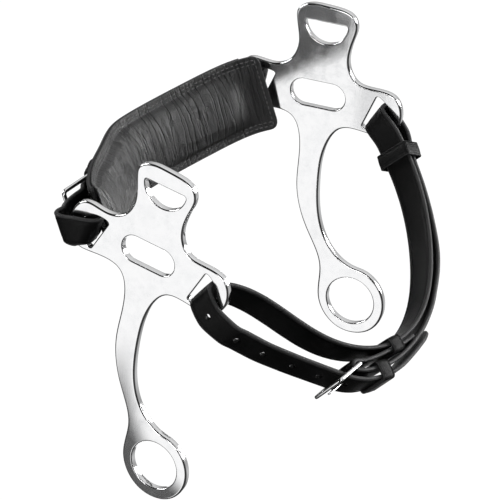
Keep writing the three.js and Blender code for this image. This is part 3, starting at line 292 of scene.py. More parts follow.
def make(name, verts, faces, material, smooth_angle, edge=None, uv=None):
    """A smooth-shaded object with sharp edges above smooth_angle; verts in scene metres."""
    ob = new_object(name, verts, faces)
    mesh = ob.data
    mesh.validate()
    if edge is not None:
        attribute = mesh.attributes.new("edge", "FLOAT", "POINT")
        attribute.data.foreach_set("value", np.asarray(edge, np.float32))
    if uv is not None:
        corners = np.zeros(len(mesh.loops), int)
        mesh.loops.foreach_get("vertex_index", corners)
        layer = mesh.uv_layers.new(name="UVMap")
        layer.data.foreach_set("uv", np.asarray(uv, np.float32)[corners].ravel())
    bm = bmesh.new()
    bm.from_mesh(mesh)
    bmesh.ops.recalc_face_normals(bm, faces=bm.faces)
    for face in bm.faces:
        face.smooth = True
    for side in bm.edges:
        if len(side.link_faces) == 2 and side.calc_face_angle(0.0) > math.radians(smooth_angle):
            side.smooth = False
    bm.to_mesh(mesh)
    bm.free()
    mesh.materials.append(material)
    return ob


def tube_faces(rings, sides, closed=False):
    """Quads between successive rings of vertices."""
    faces = []
    for i in range(rings if closed else rings - 1):
        a, b = i * sides, (i + 1) % rings * sides
        for k in range(sides):
            k2 = (k + 1) % sides
            faces.append((a + k, a + k2, b + k2, b + k))
    return faces


def apply_modifiers(ob):
    graph = bpy.context.evaluated_depsgraph_get()
    mesh = bpy.data.meshes.new_from_object(
        ob.evaluated_get(graph), preserve_all_data_layers=True, depsgraph=graph
    )
    old = ob.data
    ob.modifiers.clear()
    ob.data = mesh
    mesh.name = ob.name
    bpy.data.meshes.remove(old)


def put(ob, body, slot, *replaced):
    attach(ob, body)
    if replaced:
        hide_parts(*replaced)


def strap_section(width, thick, radius, crease=2.1, depth=0.16, dome=0.12, columns=10):
    """Across, height and edge of a strap's top, with a creased line inside each rim."""
    half, top = width / 2, thick / 2
    rim = []
    for k in range(4, -1, -1):
        a = math.pi / 2 * k / 4
        rim.append((-half + radius * (1 - math.sin(a)), top - radius * (1 - math.cos(a)), 1.0))
    for offset, drop in ((-0.45, 0.0), (-0.15, depth), (0.15, depth), (0.5, 0.0)):
        rim.append((-half + crease + offset, top - drop, 0.45))
    flat = half - radius - crease - 1.0
    middle = [
        (u, top + dome * (1 - (u / half) ** 2), 0.0) for u in np.linspace(-flat, flat, columns)
    ]
    return np.array(rim + middle + [(-u, z, e) for u, z, e in rim[::-1]]).T


def sweep(name, ribbon, section, material, taper=1.0, lift=None):
    """A closed strap body along a ribbon; lift(s, u) raises both faces along the normal."""
    across, height, edge = section
    stations, columns = len(ribbon.s), len(across)
    half = abs(across).max()
    rim = 1.6  # this much of each side keeps its shape as the strap narrows
    taper = np.broadcast_to(taper, stations)

    def around(top, bottom):
        return np.concatenate([top, bottom[1:-1][::-1]])

    verts, uv = [], []
    for i, s in enumerate(ribbon.s):
        core = half * taper[i]
        size = abs(across)
        narrowed = size * max(core - rim, 0.2) / (half - rim)
        u = np.sign(across) * np.where(size > half - rim, core - (half - size), narrowed)
        raised = lift(s, u) if lift else 0.0
        middle = ribbon.points[i] + np.outer(u, ribbon.across[i])
        top = middle + np.outer(raised + height, ribbon.normals[i])
        bottom = middle + np.outer(raised - height, ribbon.normals[i])
        verts.append(around(top, bottom))
        sideways = around(u, u)
        uv.append(np.c_[np.full(len(sideways), s), sideways] / 100.0)
    ring = 2 * columns - 2
    faces = tube_faces(stations, ring)
    for base, order in ((0, -1), ((stations - 1) * ring, 1)):
        top = [base + k for k in range(columns)]
        bottom = [base] + [base + ring - k for k in range(1, columns - 1)] + [top[-1]]
        for k in range(columns - 1):
            cap = list(dict.fromkeys([top[k], top[k + 1], bottom[k + 1], bottom[k]]))
            faces.append(tuple(cap[::order]))
    edges = np.tile(around(edge, edge), stations)
    return make(name, to_scene(np.vstack(verts)), faces, material, 40.0, edges, np.vstack(uv))


HOLE_SIDES, HOLE_TOOL_DEPTH = 24, 7.0


def cut_holes(ob, ribbon, holes):
    """Cuts holes (s, half width, half length): circles, or slots when longer than wide."""
    verts, faces = [], []
    angles = 2 * math.pi * (np.arange(HOLE_SIDES) + 0.5) / HOLE_SIDES
    for s, half_width, half_length in holes:
        centre, along, across, normal = ribbon.frame(s)
        x = np.cos(angles) * half_width
        y = np.sin(angles) * half_width
        y = y + np.copysign(half_length - half_width, y)
        outline = centre + np.outer(x, across) + np.outer(y, along)
        base = len(verts)
        for sign in (-1, 1):
            verts += list(to_scene(outline + sign * normal * HOLE_TOOL_DEPTH / 2))
        ends = tuple(range(HOLE_SIDES))[::-1], tuple(range(HOLE_SIDES, 2 * HOLE_SIDES))
        for face in [*ends, *tube_faces(2, HOLE_SIDES)]:
            faces.append(tuple(base + i for i in face))
    tool = new_object("tool", verts, faces)
    bm = bmesh.new()
    bm.from_mesh(tool.data)
    bmesh.ops.recalc_face_normals(bm, faces=bm.faces)
    bm.to_mesh(tool.data)
    bm.free()
    boolean = ob.modifiers.new("cut", "BOOLEAN")
    boolean.operation = "DIFFERENCE"
    boolean.solver = "EXACT"
    boolean.object = tool
    bpy.context.view_layer.update()
    apply_modifiers(ob)
    bpy.data.objects.remove(tool)


# ------------------------------------------------------------------ materials
class Graph:
    """Builds shader nodes in a material or world; sockets passed as values are linked."""

    def __init__(self, owner):
        owner.use_nodes = True
        self.tree = owner.node_tree
        self.tree.nodes.clear()

    def fill(self, socket, value):
        if isinstance(value, bpy.types.NodeSocket):
            self.tree.links.new(value, socket)
        elif value is not None:
            socket.default_value = value

    def set(self, node, **values):
        """Fills inputs, with _ for a space in their names, or sets properties."""
        for key, value in values.items():
            title = key.replace("_", " ")
            if title in node.inputs.keys():
                self.fill(node.inputs[title], value)
            else:
                setattr(node, key, value)

    def node(self, kind, *inputs, **values):
        node = self.tree.nodes.new("ShaderNode" + kind)
        self.set(node, **values)
        for k, value in enumerate(inputs):
            self.fill(node.inputs[k], value)
        return node

    def math(self, operation, a, b, clamp=False):
        return self.node("Math", a, b, operation=operation, use_clamp=clamp).outputs[0]

    def add(self, a, b, clamp=False):
        return self.math("ADD", a, b, clamp)

    def times(self, a, b):
        return self.math("MULTIPLY", a, b)

    def ramp(self, factor, *stops):
        """Grey ramp; stops are (position, level)."""
        node = self.node("ValToRGB", factor)
        elements = node.color_ramp.elements
        while len(elements) < len(stops):
            elements.new(0.5)
        for element, (position, level) in zip(elements, stops):
            element.position = position
            element.color = (level, level, level, 1)
        return node.outputs[0]

    def step(self, value, low, high):
        node = self.node("MapRange", interpolation_type="SMOOTHSTEP", From_Min=low, From_Max=high)
        self.fill(node.inputs["Value"], value)
        return node.outputs["Result"]

    def mix(self, factor, a, b):
        unused = [None] * 5  # the float and vector sockets before the colours
        return self.node("Mix", factor, *unused, a, b, data_type="RGBA").outputs[2]

    def noise(self, vector, scale, detail, roughness, **more):
        return self.node(
            "TexNoise", Vector=vector, Scale=scale, Detail=detail, Roughness=roughness, **more
        ).outputs[0]

    def mapping(self, vector, **values):
        return self.node("Mapping", vector, **values).outputs[0]

    def bump(self, height, distance, normal=None, strength=1.0):
        return self.node(
            "Bump", Strength=strength, Distance=distance, Height=height, Normal=normal
        ).outputs[0]

    def coordinates(self, kind):
        return self.node("TexCoord").outputs[kind]


def new_material(name, **surface_values):
    material = bpy.data.materials.new(name)
    graph = Graph(material)
    surface = graph.node("BsdfPrincipled", **surface_values)
    graph.node("OutputMaterial", surface.outputs[0])
    return material, graph, surface


def grey(tone, blue=1.0):
    return (tone, tone, tone * blue, 1)


def leather_material(
    name, rough, base=0.0008, mottle_and_sheen_tone=0.0030, grain=1500.0, grain_depth=0.00010,
    wrinkles=0.0, fibre=0.0, edge_gain=1.0, rim_wear_and_sheen_tone=0.025, specular=0.19, seed=0.0,
):
    """Dark leather. base is its tone and mottle_and_sheen_tone the lighter tone of its random
    mottles and of its rims, edge_gain scales the rims' share and rim_wear_and_sheen_tone makes the
    rims paler in patches; the rims' lightening is partly worn, burnished leather and partly a
    painted highlight where light catches them. grain is the pebble scale; grain_depth, wrinkles and
    fibre are relief in metres."""
    material, graph, surface = new_material(name)
    add, times, ramp = graph.add, graph.times, graph.ramp
    place = graph.mapping(graph.coordinates("Object"), Location=(seed, seed * 0.7, -seed))
    voronoi = graph.node("TexVoronoi", feature="DISTANCE_TO_EDGE", Scale=grain, Vector=place)
    pebbles = ramp(voronoi.outputs["Distance"], (0.0, 0.0), (0.18, 0.75), (1.0, 1.0))
    pores = graph.noise(place, scale=grain * 0.55, detail=6.0, roughness=0.6)
    patches = graph.noise(place, scale=95.0, detail=5.0, roughness=0.55)
    blotches = graph.noise(place, scale=28.0, detail=3.0, roughness=0.5)
    edge = graph.node("Attribute", attribute_name="edge").outputs["Fac"]
    normal = graph.bump(add(times(pebbles, 0.55), times(pores, 0.6)), grain_depth)
    if wrinkles:
        # long creases across the piece, with finer ones between
        uv = graph.node("UVMap", uv_map="UVMap").outputs[0]
        broad = graph.noise(
            graph.mapping(uv, Scale=(17.0, 1.6, 1.0)),
            scale=1.0, detail=3.0, roughness=0.5, Distortion=0.3,
        )
        fine = graph.noise(
            graph.mapping(uv, Scale=(170.0, 28.0, 1.0)),
            scale=1.0, detail=4.0, roughness=0.6, Distortion=0.9,
        )
        off_middle = graph.math("SUBTRACT", broad, 0.5)
        crease = graph.node("Math", off_middle, operation="ABSOLUTE").outputs[0]
        crease = ramp(crease, (0.0, 0.0), (0.015, 0.55), (0.05, 1.0))
        normal = graph.bump(add(crease, times(fine, 0.20)), wrinkles, normal)
    if fibre:
        # faint lengthwise fibre and scuffs
        uv = graph.node("UVMap", uv_map="UVMap").outputs[0]
        lengthwise = graph.mapping(uv, Scale=(6.0, 90.0, 1.0))
        scuffs = graph.noise(lengthwise, scale=1.0, detail=6.0, roughness=0.65)
        normal = graph.bump(scuffs, fibre, normal, strength=0.8)

    # painted highlight, in part: the rims lighten towards the lighter tone as a painted highlight
    # where light catches them and as worn leather; the random mottles are the leather's own tone
    lightness = add(
        times(ramp(patches, (0.35, 0.0), (0.75, 1.0)), 0.6),
        times(edge, 0.75 * edge_gain), clamp=True,
    )
    colour = graph.mix(lightness, grey(base, 1.04), grey(mottle_and_sheen_tone, 1.03))
    # the rims then turn paler in patches: partly rubbed, burnished leather, partly a painted
    # highlight
    wear_and_sheen = times(ramp(edge, (0.5, 0.0), (1.0, 1.0)), ramp(patches, (0.2, 0.55), (0.7, 1.0)))
    colour = graph.mix(wear_and_sheen, colour, grey(rim_wear_and_sheen_tone, 1.02))
    roughness = add(times(graph.math("SUBTRACT", blotches, 0.5), 0.30), rough)
    variation = times(graph.math("SUBTRACT", patches, 0.5), 0.22)
    roughness = add(roughness, variation, clamp=True)
    graph.set(
        surface, Normal=normal, Base_Color=colour, Roughness=roughness,
        Specular_IOR_Level=specular,
    )
    return material


def metal_material(name, base, rough, wave, wave_scale):
    """Bright metal; wave is the depth in metres of its slow unevenness."""
    material, graph, surface = new_material(name, Metallic=1.0)
    place = graph.coordinates("Object")
    waves = graph.noise(place, scale=wave_scale, detail=2.0, roughness=0.4)
    normal = graph.bump(waves, wave)
    stretched = graph.mapping(place, Scale=(900.0, 900.0, 60.0), Rotation=(0.1, 0.25, 0.0))
    scratches = graph.noise(stretched, scale=1.0, detail=5.0, roughness=0.7)
    normal = graph.bump(scratches, 0.000012, normal, strength=0.6)
    smudges = graph.noise(place, scale=160.0, detail=6.0, roughness=0.65)
    haze = graph.times(graph.ramp(smudges, (0.45, 0.0), (0.8, 1.0)), 0.10)
    dulled = (base * 0.93, base * 0.935, base * 0.945, 1)
    colour = graph.mix(
        graph.ramp(smudges, (0.4, 0.0), (0.75, 1.0)), grey(base, 1.005), dulled
    )
    roughness = graph.add(haze, rough, clamp=True)
    graph.set(surface, Normal=normal, Roughness=roughness, Base_Color=colour)
    return material


def thread_material(name, tone):
    """Twisted thread, its tone varying with the twist."""
    material, graph, surface = new_material(name, Roughness=0.55)
    place = graph.coordinates("Object")
    twist = graph.node("TexWave", Scale=900.0, Distortion=1.0, Vector=place).outputs[1]
    normal = graph.bump(twist, 0.00008, strength=0.7)
    colour = graph.ramp(twist, (0.0, tone * 0.6), (1.0, tone * 1.6))
    graph.set(surface, Normal=normal, Base_Color=colour)
    return material


STEEL = metal_material("polished_steel", base=0.88, rough=0.10, wave=0.00006, wave_scale=26.0)
NICKEL = metal_material("buckle_nickel", base=0.82, rough=0.12, wave=0.00004, wave_scale=90.0)
STRAP_LEATHER = leather_material("strap_leather", rough=0.38, fibre=0.00008)
PAD_LEATHER = leather_material(
    "pad_leather", rough=0.35, base=0.003, mottle_and_sheen_tone=0.011, grain=950.0, grain_depth=0.00028,
    wrinkles=0.0006, rim_wear_and_sheen_tone=0.015, specular=1.0, seed=0.3,
)
BACKING_LEATHER = leather_material(
    "backing_leather", rough=0.45, grain=1200.0, grain_depth=0.00014, seed=0.8
)
KEEPER_LEATHER = leather_material(
    "keeper_leather", rough=0.40, base=0.001, mottle_and_sheen_tone=0.004, grain=900.0, grain_depth=0.0002,
    fibre=0.00006, edge_gain=0.5, rim_wear_and_sheen_tone=0.02, specular=0.16, seed=1.7,
)
THREAD = thread_material("waxed_thread", tone=0.09)

# ------------------------------------------------------------------ cheek plates
# columns: rearwards (the plate's -x), up
CHEEK_OUTLINE = np.array([
    [-16.16, 48.77], [-16.03, 45.96], [-14.27, 34.51], [-14.17, 30.99], [-14.57, 27.78],
    [-15.42, 24.8], [-16.65, 22.14], [-18.26, 19.75], [-20.02, 17.93], [-22.2, 16.39],
    [-24.64, 15.27], [-27.31, 14.58], [-30.14, 14.32], [-33.9, 14.56], [-39.56, 15.24],
    [-42.41, 15.23], [-44.47, 14.79], [-46.32, 13.9], [-48.05, 12.52], [-49.62, 10.65],
    [-50.96, 8.29], [-52.05, 5.36], [-52.74, 2.06], [-52.94, -1.18], [-52.67, -4.39],
    [-51.95, -7.31], [-50.86, -9.88], [-49.43, -12.05], [-47.88, -13.64], [-46.13, -14.79],
    [-44.22, -15.46], [-41.73, -15.75], [-37.79, -15.56], [-30.8, -14.88], [-25.76, -14.73],
    [-22.29, -15.04], [-19.58, -15.72], [-17.57, -16.66], [-15.88, -17.99], [-14.49, -19.67],
    [-13.19, -22.05], [-12.15, -25.06], [-11.35, -28.95], [-10.86, -34.08], [-10.81, -40.37],
    [-11.53, -54.99], [-11.48, -60.86], [-10.96, -66.28], [-9.93, -71.84], [-8.39, -77.5],
    [-6.38, -83.05], [-3.8, -88.76], [2.62, -101.05], [4.46, -105.52], [5.51, -109.24],
    [6.02, -112.78], [6.08, -117.2], [5.68, -124.19], [5.64, -129.16], [6.02, -132.66],
    [6.86, -135.93], [8.15, -139.05], [9.94, -142.09], [12.04, -144.72], [14.48, -147.02],
    [17.1, -148.86], [19.83, -150.22], [22.9, -151.2], [25.96, -151.69], [29.25, -151.73],
    [32.5, -151.29], [35.63, -150.39], [38.42, -149.1], [40.81, -147.48], [43.02, -145.42],
    [44.99, -142.91], [46.58, -140.11], [47.82, -136.94], [48.6, -133.62], [48.9, -130.37],
    [48.73, -126.96], [48.13, -123.93], [47.03, -120.87], [45.48, -118.01], [43.52, -115.41],
    [41.33, -113.24], [38.73, -111.35], [36.14, -110.02], [33.37, -109.12], [28.48, -108.24],
    [25.49, -107.46], [22.37, -106.1], [19.35, -104.24], [16.47, -101.91], [13.73, -99.06],
    [11.29, -95.83], [9.17, -92.23], [7.32, -88.13], [5.74, -83.37], [4.52, -78.12],
    [3.64, -72.09], [3.13, -65.03], [3.01, -57.7], [3.19, -50.41], [3.7, -44.05],
    [4.57, -38.73], [5.86, -33.81], [7.53, -29.25], [9.34, -25.58], [11.18, -22.83],
    [13.1, -20.74], [14.93, -19.39], [16.95, -18.47], [19.56, -17.87], [22.67, -17.71],
    [27.71, -18.06], [34.33, -18.74], [38.27, -18.78], [41.13, -18.4], [43.67, -17.6],
    [45.89, -16.41], [48, -14.74], [49.79, -12.7], [51.24, -10.36], [52.27, -7.76],
    [52.85, -4.96], [52.94, -2.07], [52.56, 0.8], [51.78, 3.34], [50.6, 5.61], [49.23, 7.28],
    [47.57, 8.56], [45.51, 9.51], [42.9, 10.15], [38.95, 10.52], [32.21, 10.65],
    [28.31, 10.99], [26.04, 11.57], [24.25, 12.5], [22.45, 14.03], [20.95, 15.94],
    [19.64, 18.4], [18.73, 21.16], [18.27, 24.14], [18.26, 27.48], [18.76, 31.31],
    [19.94, 36.23], [21.81, 42.3], [22.4, 45.14], [22.43, 47.39], [21.95, 49.61],
    [21.08, 51.51], [19.85, 53.11], [18.31, 54.33], [16.23, 55.32], [13.44, 56.05],
    [9.1, 56.55], [1.85, 56.99], [-3.15, 57.1], [-6.53, 56.75], [-9.43, 55.97],
    [-11.84, 54.88], [-13.85, 53.47], [-15.11, 52.05], [-15.86, 50.51],
])
# D-shaped holes: middle of the flat side, its tilt in degrees, half its length,
# depth, and which side of it the D lies on: the top, rear and front lobes
D_HOLES = [
    (3.08, 46.4, 0, 13.4, 13.4, 1),
    (32.64, -3.82, 67.4, 11.4, 13.2, 1),
    (-32.15, -2.34, 66.9, 11.4, 13.2, -1),
]
RING_CENTRE, RING_RADIUS = (27.2, -130.2), 15  # round hole at the foot of the shank
SLOT_MIDDLE, SLOT_REACH, SLOT_RADIUS = -0.17, 9.02, 8.14  # level slot in the middle
OUTER_ROUND, HOLE_ROUND = 1.25, 0.8  # edge radii
LAND = 0.35  # narrow strip inside the rounded edge that keeps the face's shading flat
# the plate's origin, then its x, y and z axes as rows; the right plate inverts both
LEFT_AT = np.array([3.2715, 94.5415, -12.6342])
LEFT_AXES = np.array([
    [0.99436, -0.06644, 0.08264], [0.06795, 0.99757, -0.01562], [-0.0814, 0.02115, 0.99646]
])


def closed_spline(points, per_point):
    padded = np.vstack([points[-2:], points, points[:3]])
    return catmull_rom(padded, 2 + np.arange(len(points) * per_point) / per_point)[0]


def d_hole(x, y, tilt, half, depth, side, corner=1.6):
    inset = math.asin(corner / depth)
    angles = inset + (math.pi - 2 * inset) * np.arange(65) / 64
    arc = np.c_[-np.cos(angles) * half, np.sin(angles) * depth]
    flat = half - corner * 0.9
    end_x, end_y = arc[-1]
    t = np.arange(1, 6) / 6
    bend_x = (1 - t) ** 2 * end_x + 2 * t * (1 - t) * (end_x - 0.05) + t * t * flat
    bend = np.c_[bend_x, (1 - t) ** 2 * end_y]
    straight = np.c_[flat - 2 * flat * np.arange(13) / 12, np.zeros(13)]
    points = np.vstack([arc, bend, straight, bend[::-1] * (-1, 1)])
    a = math.radians(tilt)
    axes = np.array([
        [math.cos(a), math.sin(a)], [side * math.sin(a), -side * math.cos(a)]
    ])
    return points @ axes + (x, y)


def plate_loops():
    """The outline anticlockwise, then the holes clockwise."""
    angles = np.linspace(0, 2 * math.pi, 120, endpoint=False)
    ring = np.c_[np.cos(angles), np.sin(angles)] * RING_RADIUS + RING_CENTRE
    slot = []
    for side in (1, -1):
        for i in range(33):
            a = -side * math.pi / 2 + math.pi * i / 32
            x = SLOT_MIDDLE + side * SLOT_REACH + math.cos(a) * SLOT_RADIUS
            slot.append((x, math.sin(a) * SLOT_RADIUS))
    loops = [closed_spline(CHEEK_OUTLINE, 4), *(d_hole(*hole) for hole in D_HOLES)]
    loops += [ring, np.array(slot)]
    for k, loop in enumerate(loops):
        following = np.roll(loop, -1, 0)
        area = np.sum(loop[:, 0] * following[:, 1] - following[:, 0] * loop[:, 1])
        if (area > 0) != (k == 0):
            loops[k] = loop[::-1]
    return loops


def plate_mesh():
    """A plate in its own axes, its faces at y = 0 and y = -PLATE_THICK."""
    bm = bmesh.new()
    border = ([], [])

    def ring_at(points, y):
        return [bm.verts.new((-p[0], y, p[1])) for p in points]

    def band(a, b):
        for k in range(len(a)):
            k2 = (k + 1) % len(a)
            bm.faces.new((a[k], a[k2], b[k2], b[k]))

    for number, points in enumerate(plate_loops()):
        d = unit(np.roll(points, -1, 0) - np.roll(points, 1, 0))
        outward = np.c_[d[:, 1], -d[:, 0]]
        radius = HOLE_ROUND if number else OUTER_ROUND
        quarter = []
        for k in range(7):
            a = math.pi / 2 * k / 6
            quarter.append((-radius * (1 - math.sin(a)), -radius * (1 - math.cos(a))))
        profile = quarter + [(inset, -PLATE_THICK - y) for inset, y in quarter[::-1]]
        rings = [ring_at(points + outward * inset, y) for inset, y in profile]
        for a, b in zip(rings[:-1], rings[1:]):
            band(a, b)
        for side, y, ring in ((0, 0.0, rings[0]), (1, -PLATE_THICK, rings[-1])):
            land = ring_at(points - outward * (radius + LAND), y)
            band(land, ring)
            for k in range(len(land)):
                border[side].append(bm.edges.get((land[k], land[(k + 1) % len(land)])))
    for edges in border:
        bmesh.ops.triangle_fill(
            bm, use_beauty=True, use_dissolve=False, edges=edges, normal=(0, 1, 0)
        )
    bmesh.ops.recalc_face_normals(bm, faces=bm.faces)
    for face in bm.faces:
        face.smooth = True
    return bm


def build_plates():
    base = plate_mesh()
    plates = (("left_cheek", LEFT_AT, LEFT_AXES), ("right_cheek", -LEFT_AT, LEFT_AXES.T))
    for body, at, axes in plates:
        bm = base.copy()
        for vert in bm.verts:
            vert.co = Vector(to_scene(at + np.array(vert.co) @ axes))
        ob = new_object(body + "_plate_steel")
        bm.to_mesh(ob.data)
        bm.free()
        ob.data.materials.append(STEEL)
        put(ob, body, "polished_steel", body + "_plate")
    base.free()


build_plates()

# ------------------------------------------------------------------ nose pad
PAD_ROWS, PAD_COLUMNS = 150, 44
END_INSETS = np.array([3.2, 2.1, 1.2, 0.55, 0.15, 0.0])  # last rows, round the corners
BULGE_HALF = 18.6
CLOTH_FRAMES = 24
CLOTH_LIMIT = 0.0016  # metres the cloth may move from the drawn form
LINING_FACE = -SKIN_GAP - LINING_THICK
CLOTH = dict(
    quality=7, mass=0.12, tension_stiffness=30, compression_stiffness=30, shear_stiffness=12,
    bending_stiffness=0.06, tension_damping=12, compression_damping=12, shear_damping=10,
    bending_damping=0.8, air_damping=3, use_pressure=True, uniform_pressure_force=5.0,
    vertex_group_mass="pin", pin_stiffness=1.0,
)


def pad_bulge(s, up):
    ends = smoothstep((s - 8) / 16) * smoothstep((ARCH_LENGTH - 4 - s) / 16)
    crown = np.maximum(0, 1 - (np.abs(up) / BULGE_HALF) ** 2.6) ** 0.62
    return ends * PAD_BULGE * crown


def puff(s, out, up, points):
    """Lets the pad's inner face swell as cloth under pressure, pinned outside the bulge."""
    flat = to_scene(points).reshape(-1, 3)
    index = np.arange(s.size).reshape(s.shape)
    faces = [
        (index[i, j], index[i, j + 1], index[i + 1, j + 1], index[i + 1, j])
        for i in range(PAD_ROWS - 1) for j in range(PAD_COLUMNS - 1)
    ]
    ob = new_object("pad_sim", flat, faces)
    ob.shape_key_add(name="Basis")
    rest_key = ob.shape_key_add(name="Rest")
    # the leather's unstretched size is a little more than the form's
    rest = np.stack([s * 1.02, out, up * 1.015], -1).reshape(-1, 3) / 1000.0
    for point, place in zip(rest_key.data, rest):
        point.co = Vector(place)
    rest_key.value = 0.0
    pinned = (np.abs(up) > 18.9) | (s < 11.5) | (s > ARCH_LENGTH - 8.0)
    group = ob.vertex_groups.new(name="pin")
    group.add([int(i) for i in index[pinned]], 1.0, "REPLACE")
    cloth = ob.modifiers.new("Cloth", "CLOTH")
    for key, value in CLOTH.items():
        setattr(cloth.settings, key, value)
    cloth.settings.rest_shape_key = rest_key
    cloth.settings.effector_weights.gravity = 0.0
    cloth.collision_settings.use_collision = False
    cloth.collision_settings.use_self_collision = False
    scene.frame_start, scene.frame_end = 1, CLOTH_FRAMES
    cloth.point_cache.frame_start, cloth.point_cache.frame_end = 1, CLOTH_FRAMES
    for frame in range(1, CLOTH_FRAMES + 1):
        scene.frame_set(frame)
    graph = bpy.context.evaluated_depsgraph_get()
    puffed = ob.evaluated_get(graph).to_mesh()
    places = np.zeros(len(puffed.vertices) * 3)
    puffed.vertices.foreach_get("co", places)
    move = places.reshape(-1, 3) - flat
    distance = np.linalg.norm(move, axis=1)
    move *= np.minimum(1, CLOTH_LIMIT / np.maximum(distance, 1e-9))[:, None]
    bpy.data.objects.remove(ob)
    scene.frame_set(1)
    return ((flat + move) * 1000.0 + ORIGIN).reshape(points.shape)


def pad_surface():
    """The grid of s and up over the pad, and its inner face."""
    main = np.linspace(PAD_START, PAD_END - PAD_CORNER, PAD_ROWS - len(END_INSETS))
    along = np.r_[main, PAD_END - END_INSETS]
    s, up = np.meshgrid(along, np.linspace(-PAD_HALF, PAD_HALF, PAD_COLUMNS), indexing="ij")
    into = np.clip(along - PAD_END + PAD_CORNER, 0, PAD_CORNER)
    half = PAD_HALF - PAD_CORNER + np.sqrt(PAD_CORNER**2 - into**2)
    up = up * (half / PAD_HALF)[:, None]
    out = LINING_FACE - pad_bulge(s, up) * 0.86
    points = nose(s, out, up)
    points = puff(s, out, up, points)
    return s, up, points


def pad_wrinkles(s, up):
    """Height in millimetres of 85 random wrinkles running across the pad."""
    height = np.zeros_like(s)
    random = np.random.default_rng(5)
    for _ in range(85):
        s0 = random.uniform(16, ARCH_LENGTH - 12)
        up0 = random.uniform(-15, 15)
        length = random.uniform(4, 13)
        width = random.uniform(0.55, 1.3)
        tilt = random.normal(0, 0.16)
        depth = random.uniform(0.16, 0.50) * (1.25 if 60 < s0 < 150 else 0.8)
        away = s - s0 - tilt * (up - up0) - 0.8 * np.sin((up - up0) / 5.0 + s0)
        reach = np.exp(-(((up - up0) / length) ** 4))
        height -= depth * np.exp(-((away / width) ** 2)) * reach
        ridge = (away - 1.9 * width) / (width * 1.3)
        height += depth * 0.45 * np.exp(-(ridge**2)) * reach
    inside = smoothstep((18.0 - np.abs(up)) / 5.0)
    return height * inside * smoothstep((s - 12) / 10) * smoothstep((ARCH_LENGTH - 9 - s) / 10)


def build_pad():
    s, up, face = pad_surface()
    rows, columns = s.shape
    # the stitch line beside the padding pulls the leather down
    pull = -0.35 * np.exp(-(((np.abs(up) - 19.2) / 0.7) ** 2))
    pull = pull * smoothstep((s - 6) / 4) * smoothstep((ARCH_LENGTH - 1 - s) / 4)
    inward = nose(s, -1.0, up) - nose(s, 0.0, up)
    face = face + inward * (pad_wrinkles(s, up) + pull)[..., None]
    flat_back = nose(s, -0.16, up)
    front = np.arange(s.size).reshape(s.shape)
    back = front + s.size
    from_rim = np.minimum(PAD_HALF - np.abs(up), np.minimum(s - PAD_START, PAD_END - s))
    front_edge = np.maximum(0.0, 1 - from_rim / 1.6)
    faces = []
    for i in range(rows - 1):
        for j in range(columns - 1):
            k, m = i + 1, j + 1
            faces.append((front[i, j], front[i, m], front[k, m], front[k, j]))
            faces.append((back[i, j], back[k, j], back[k, m], back[i, m]))
    rim = [(i, 0) for i in range(rows)]
    rim += [(rows - 1, j) for j in range(1, columns)]
    rim += [(i, columns - 1) for i in range(rows - 2, -1, -1)]
    rim += [(0, j) for j in range(columns - 2, 0, -1)]
    # one bulging loop between the faces makes the turned edge
    turned = []
    for i, j in rim:
        outward = np.zeros(3)
        if j == 0:
            outward -= NOSE_UP
        if j == columns - 1:
            outward += NOSE_UP
        if i == 0:
            outward += nose(PAD_START - 1) - nose(PAD_START)
        if i == rows - 1:
            outward += nose(PAD_END + 1) - nose(PAD_END)
        turned.append((face[i, j] + flat_back[i, j]) / 2 + unit(outward) * 0.45)
    for k, a in enumerate(rim):
        k2 = (k + 1) % len(rim)
        b = rim[k2]
        mid, mid2 = 2 * s.size + k, 2 * s.size + k2
        faces.append((front[a], front[b], mid2, mid))
        faces.append((mid, mid2, back[b], back[a]))
    verts = np.vstack([face.reshape(-1, 3), flat_back.reshape(-1, 3), turned])
    edge = np.r_[front_edge.ravel(), np.full(s.size, 0.4), np.ones(len(rim))]
    grid_uv = np.c_[s.ravel(), up.ravel()]
    uv = np.vstack([grid_uv, grid_uv, [(s[a], up[a]) for a in rim]]) / 100.0
    ob = make("noseband_pad", to_scene(verts), faces, PAD_LEATHER, 50.0, edge, uv)
    fine = ob.modifiers.new("fine", "SUBSURF")
    fine.levels = fine.render_levels = 1
    apply_modifiers(ob)
    put(ob, "noseband", "pad_leather", "noseband_pad_lining", "noseband_foam")


def build_backing():
    """A stiff slab on the outside of the arch."""
    s = np.linspace(BACKING_START, BACKING_END, 150)
    ribbon = SimpleNamespace(
        s=s,
        points=nose(s, SKIN_GAP + BACKING_THICK / 2),
        normals=unit(nose(s, 2.0) - nose(s, 1.0)),
        across=np.tile(NOSE_UP, (len(s), 1)),
    )
    section = strap_section(
        PAD_WIDTH, BACKING_THICK, 0.8, crease=3.4, depth=0.12, dome=0.0, columns=12
    )
    ob = sweep("noseband_backing_leather", ribbon, section, BACKING_LEATHER)
    put(ob, "noseband", "strap_leather", "noseband_backing")


build_pad()
build_backing()

# ------------------------------------------------------------------ straps
STRAP_STEP, CHAPE_STEP = 1.1, 0.8
STRAP_SECTION = strap_section(STRAP_WIDTH, STRAP_THICK, 1.0)
CHIN_TIP, NOSE_TIP = 12.0, 10.0  # lengths of the narrowed ends
# chin strap holes: table row, half width, half length
CHIN_HOLES = [
    (7.15, 2.1, 3.9), (8.6, 2.0, 2.0), (10.4, 2.0, 2.0), (11.95, 2.0, 2.0), (14.2, 2.0, 2.0),
    (17.0, 1.75, 1.75), (69, 2.35, 6.4),
]
# nose strap holes at each end: along the arch, out of it, half width, half length
NOSE_HOLES = [(49.0, 13.0, 2.3, 5.2), (31.0, 15.5, 2.0, 2.0)]
NOSE_END = 90  # holes are looked for within this length of each end
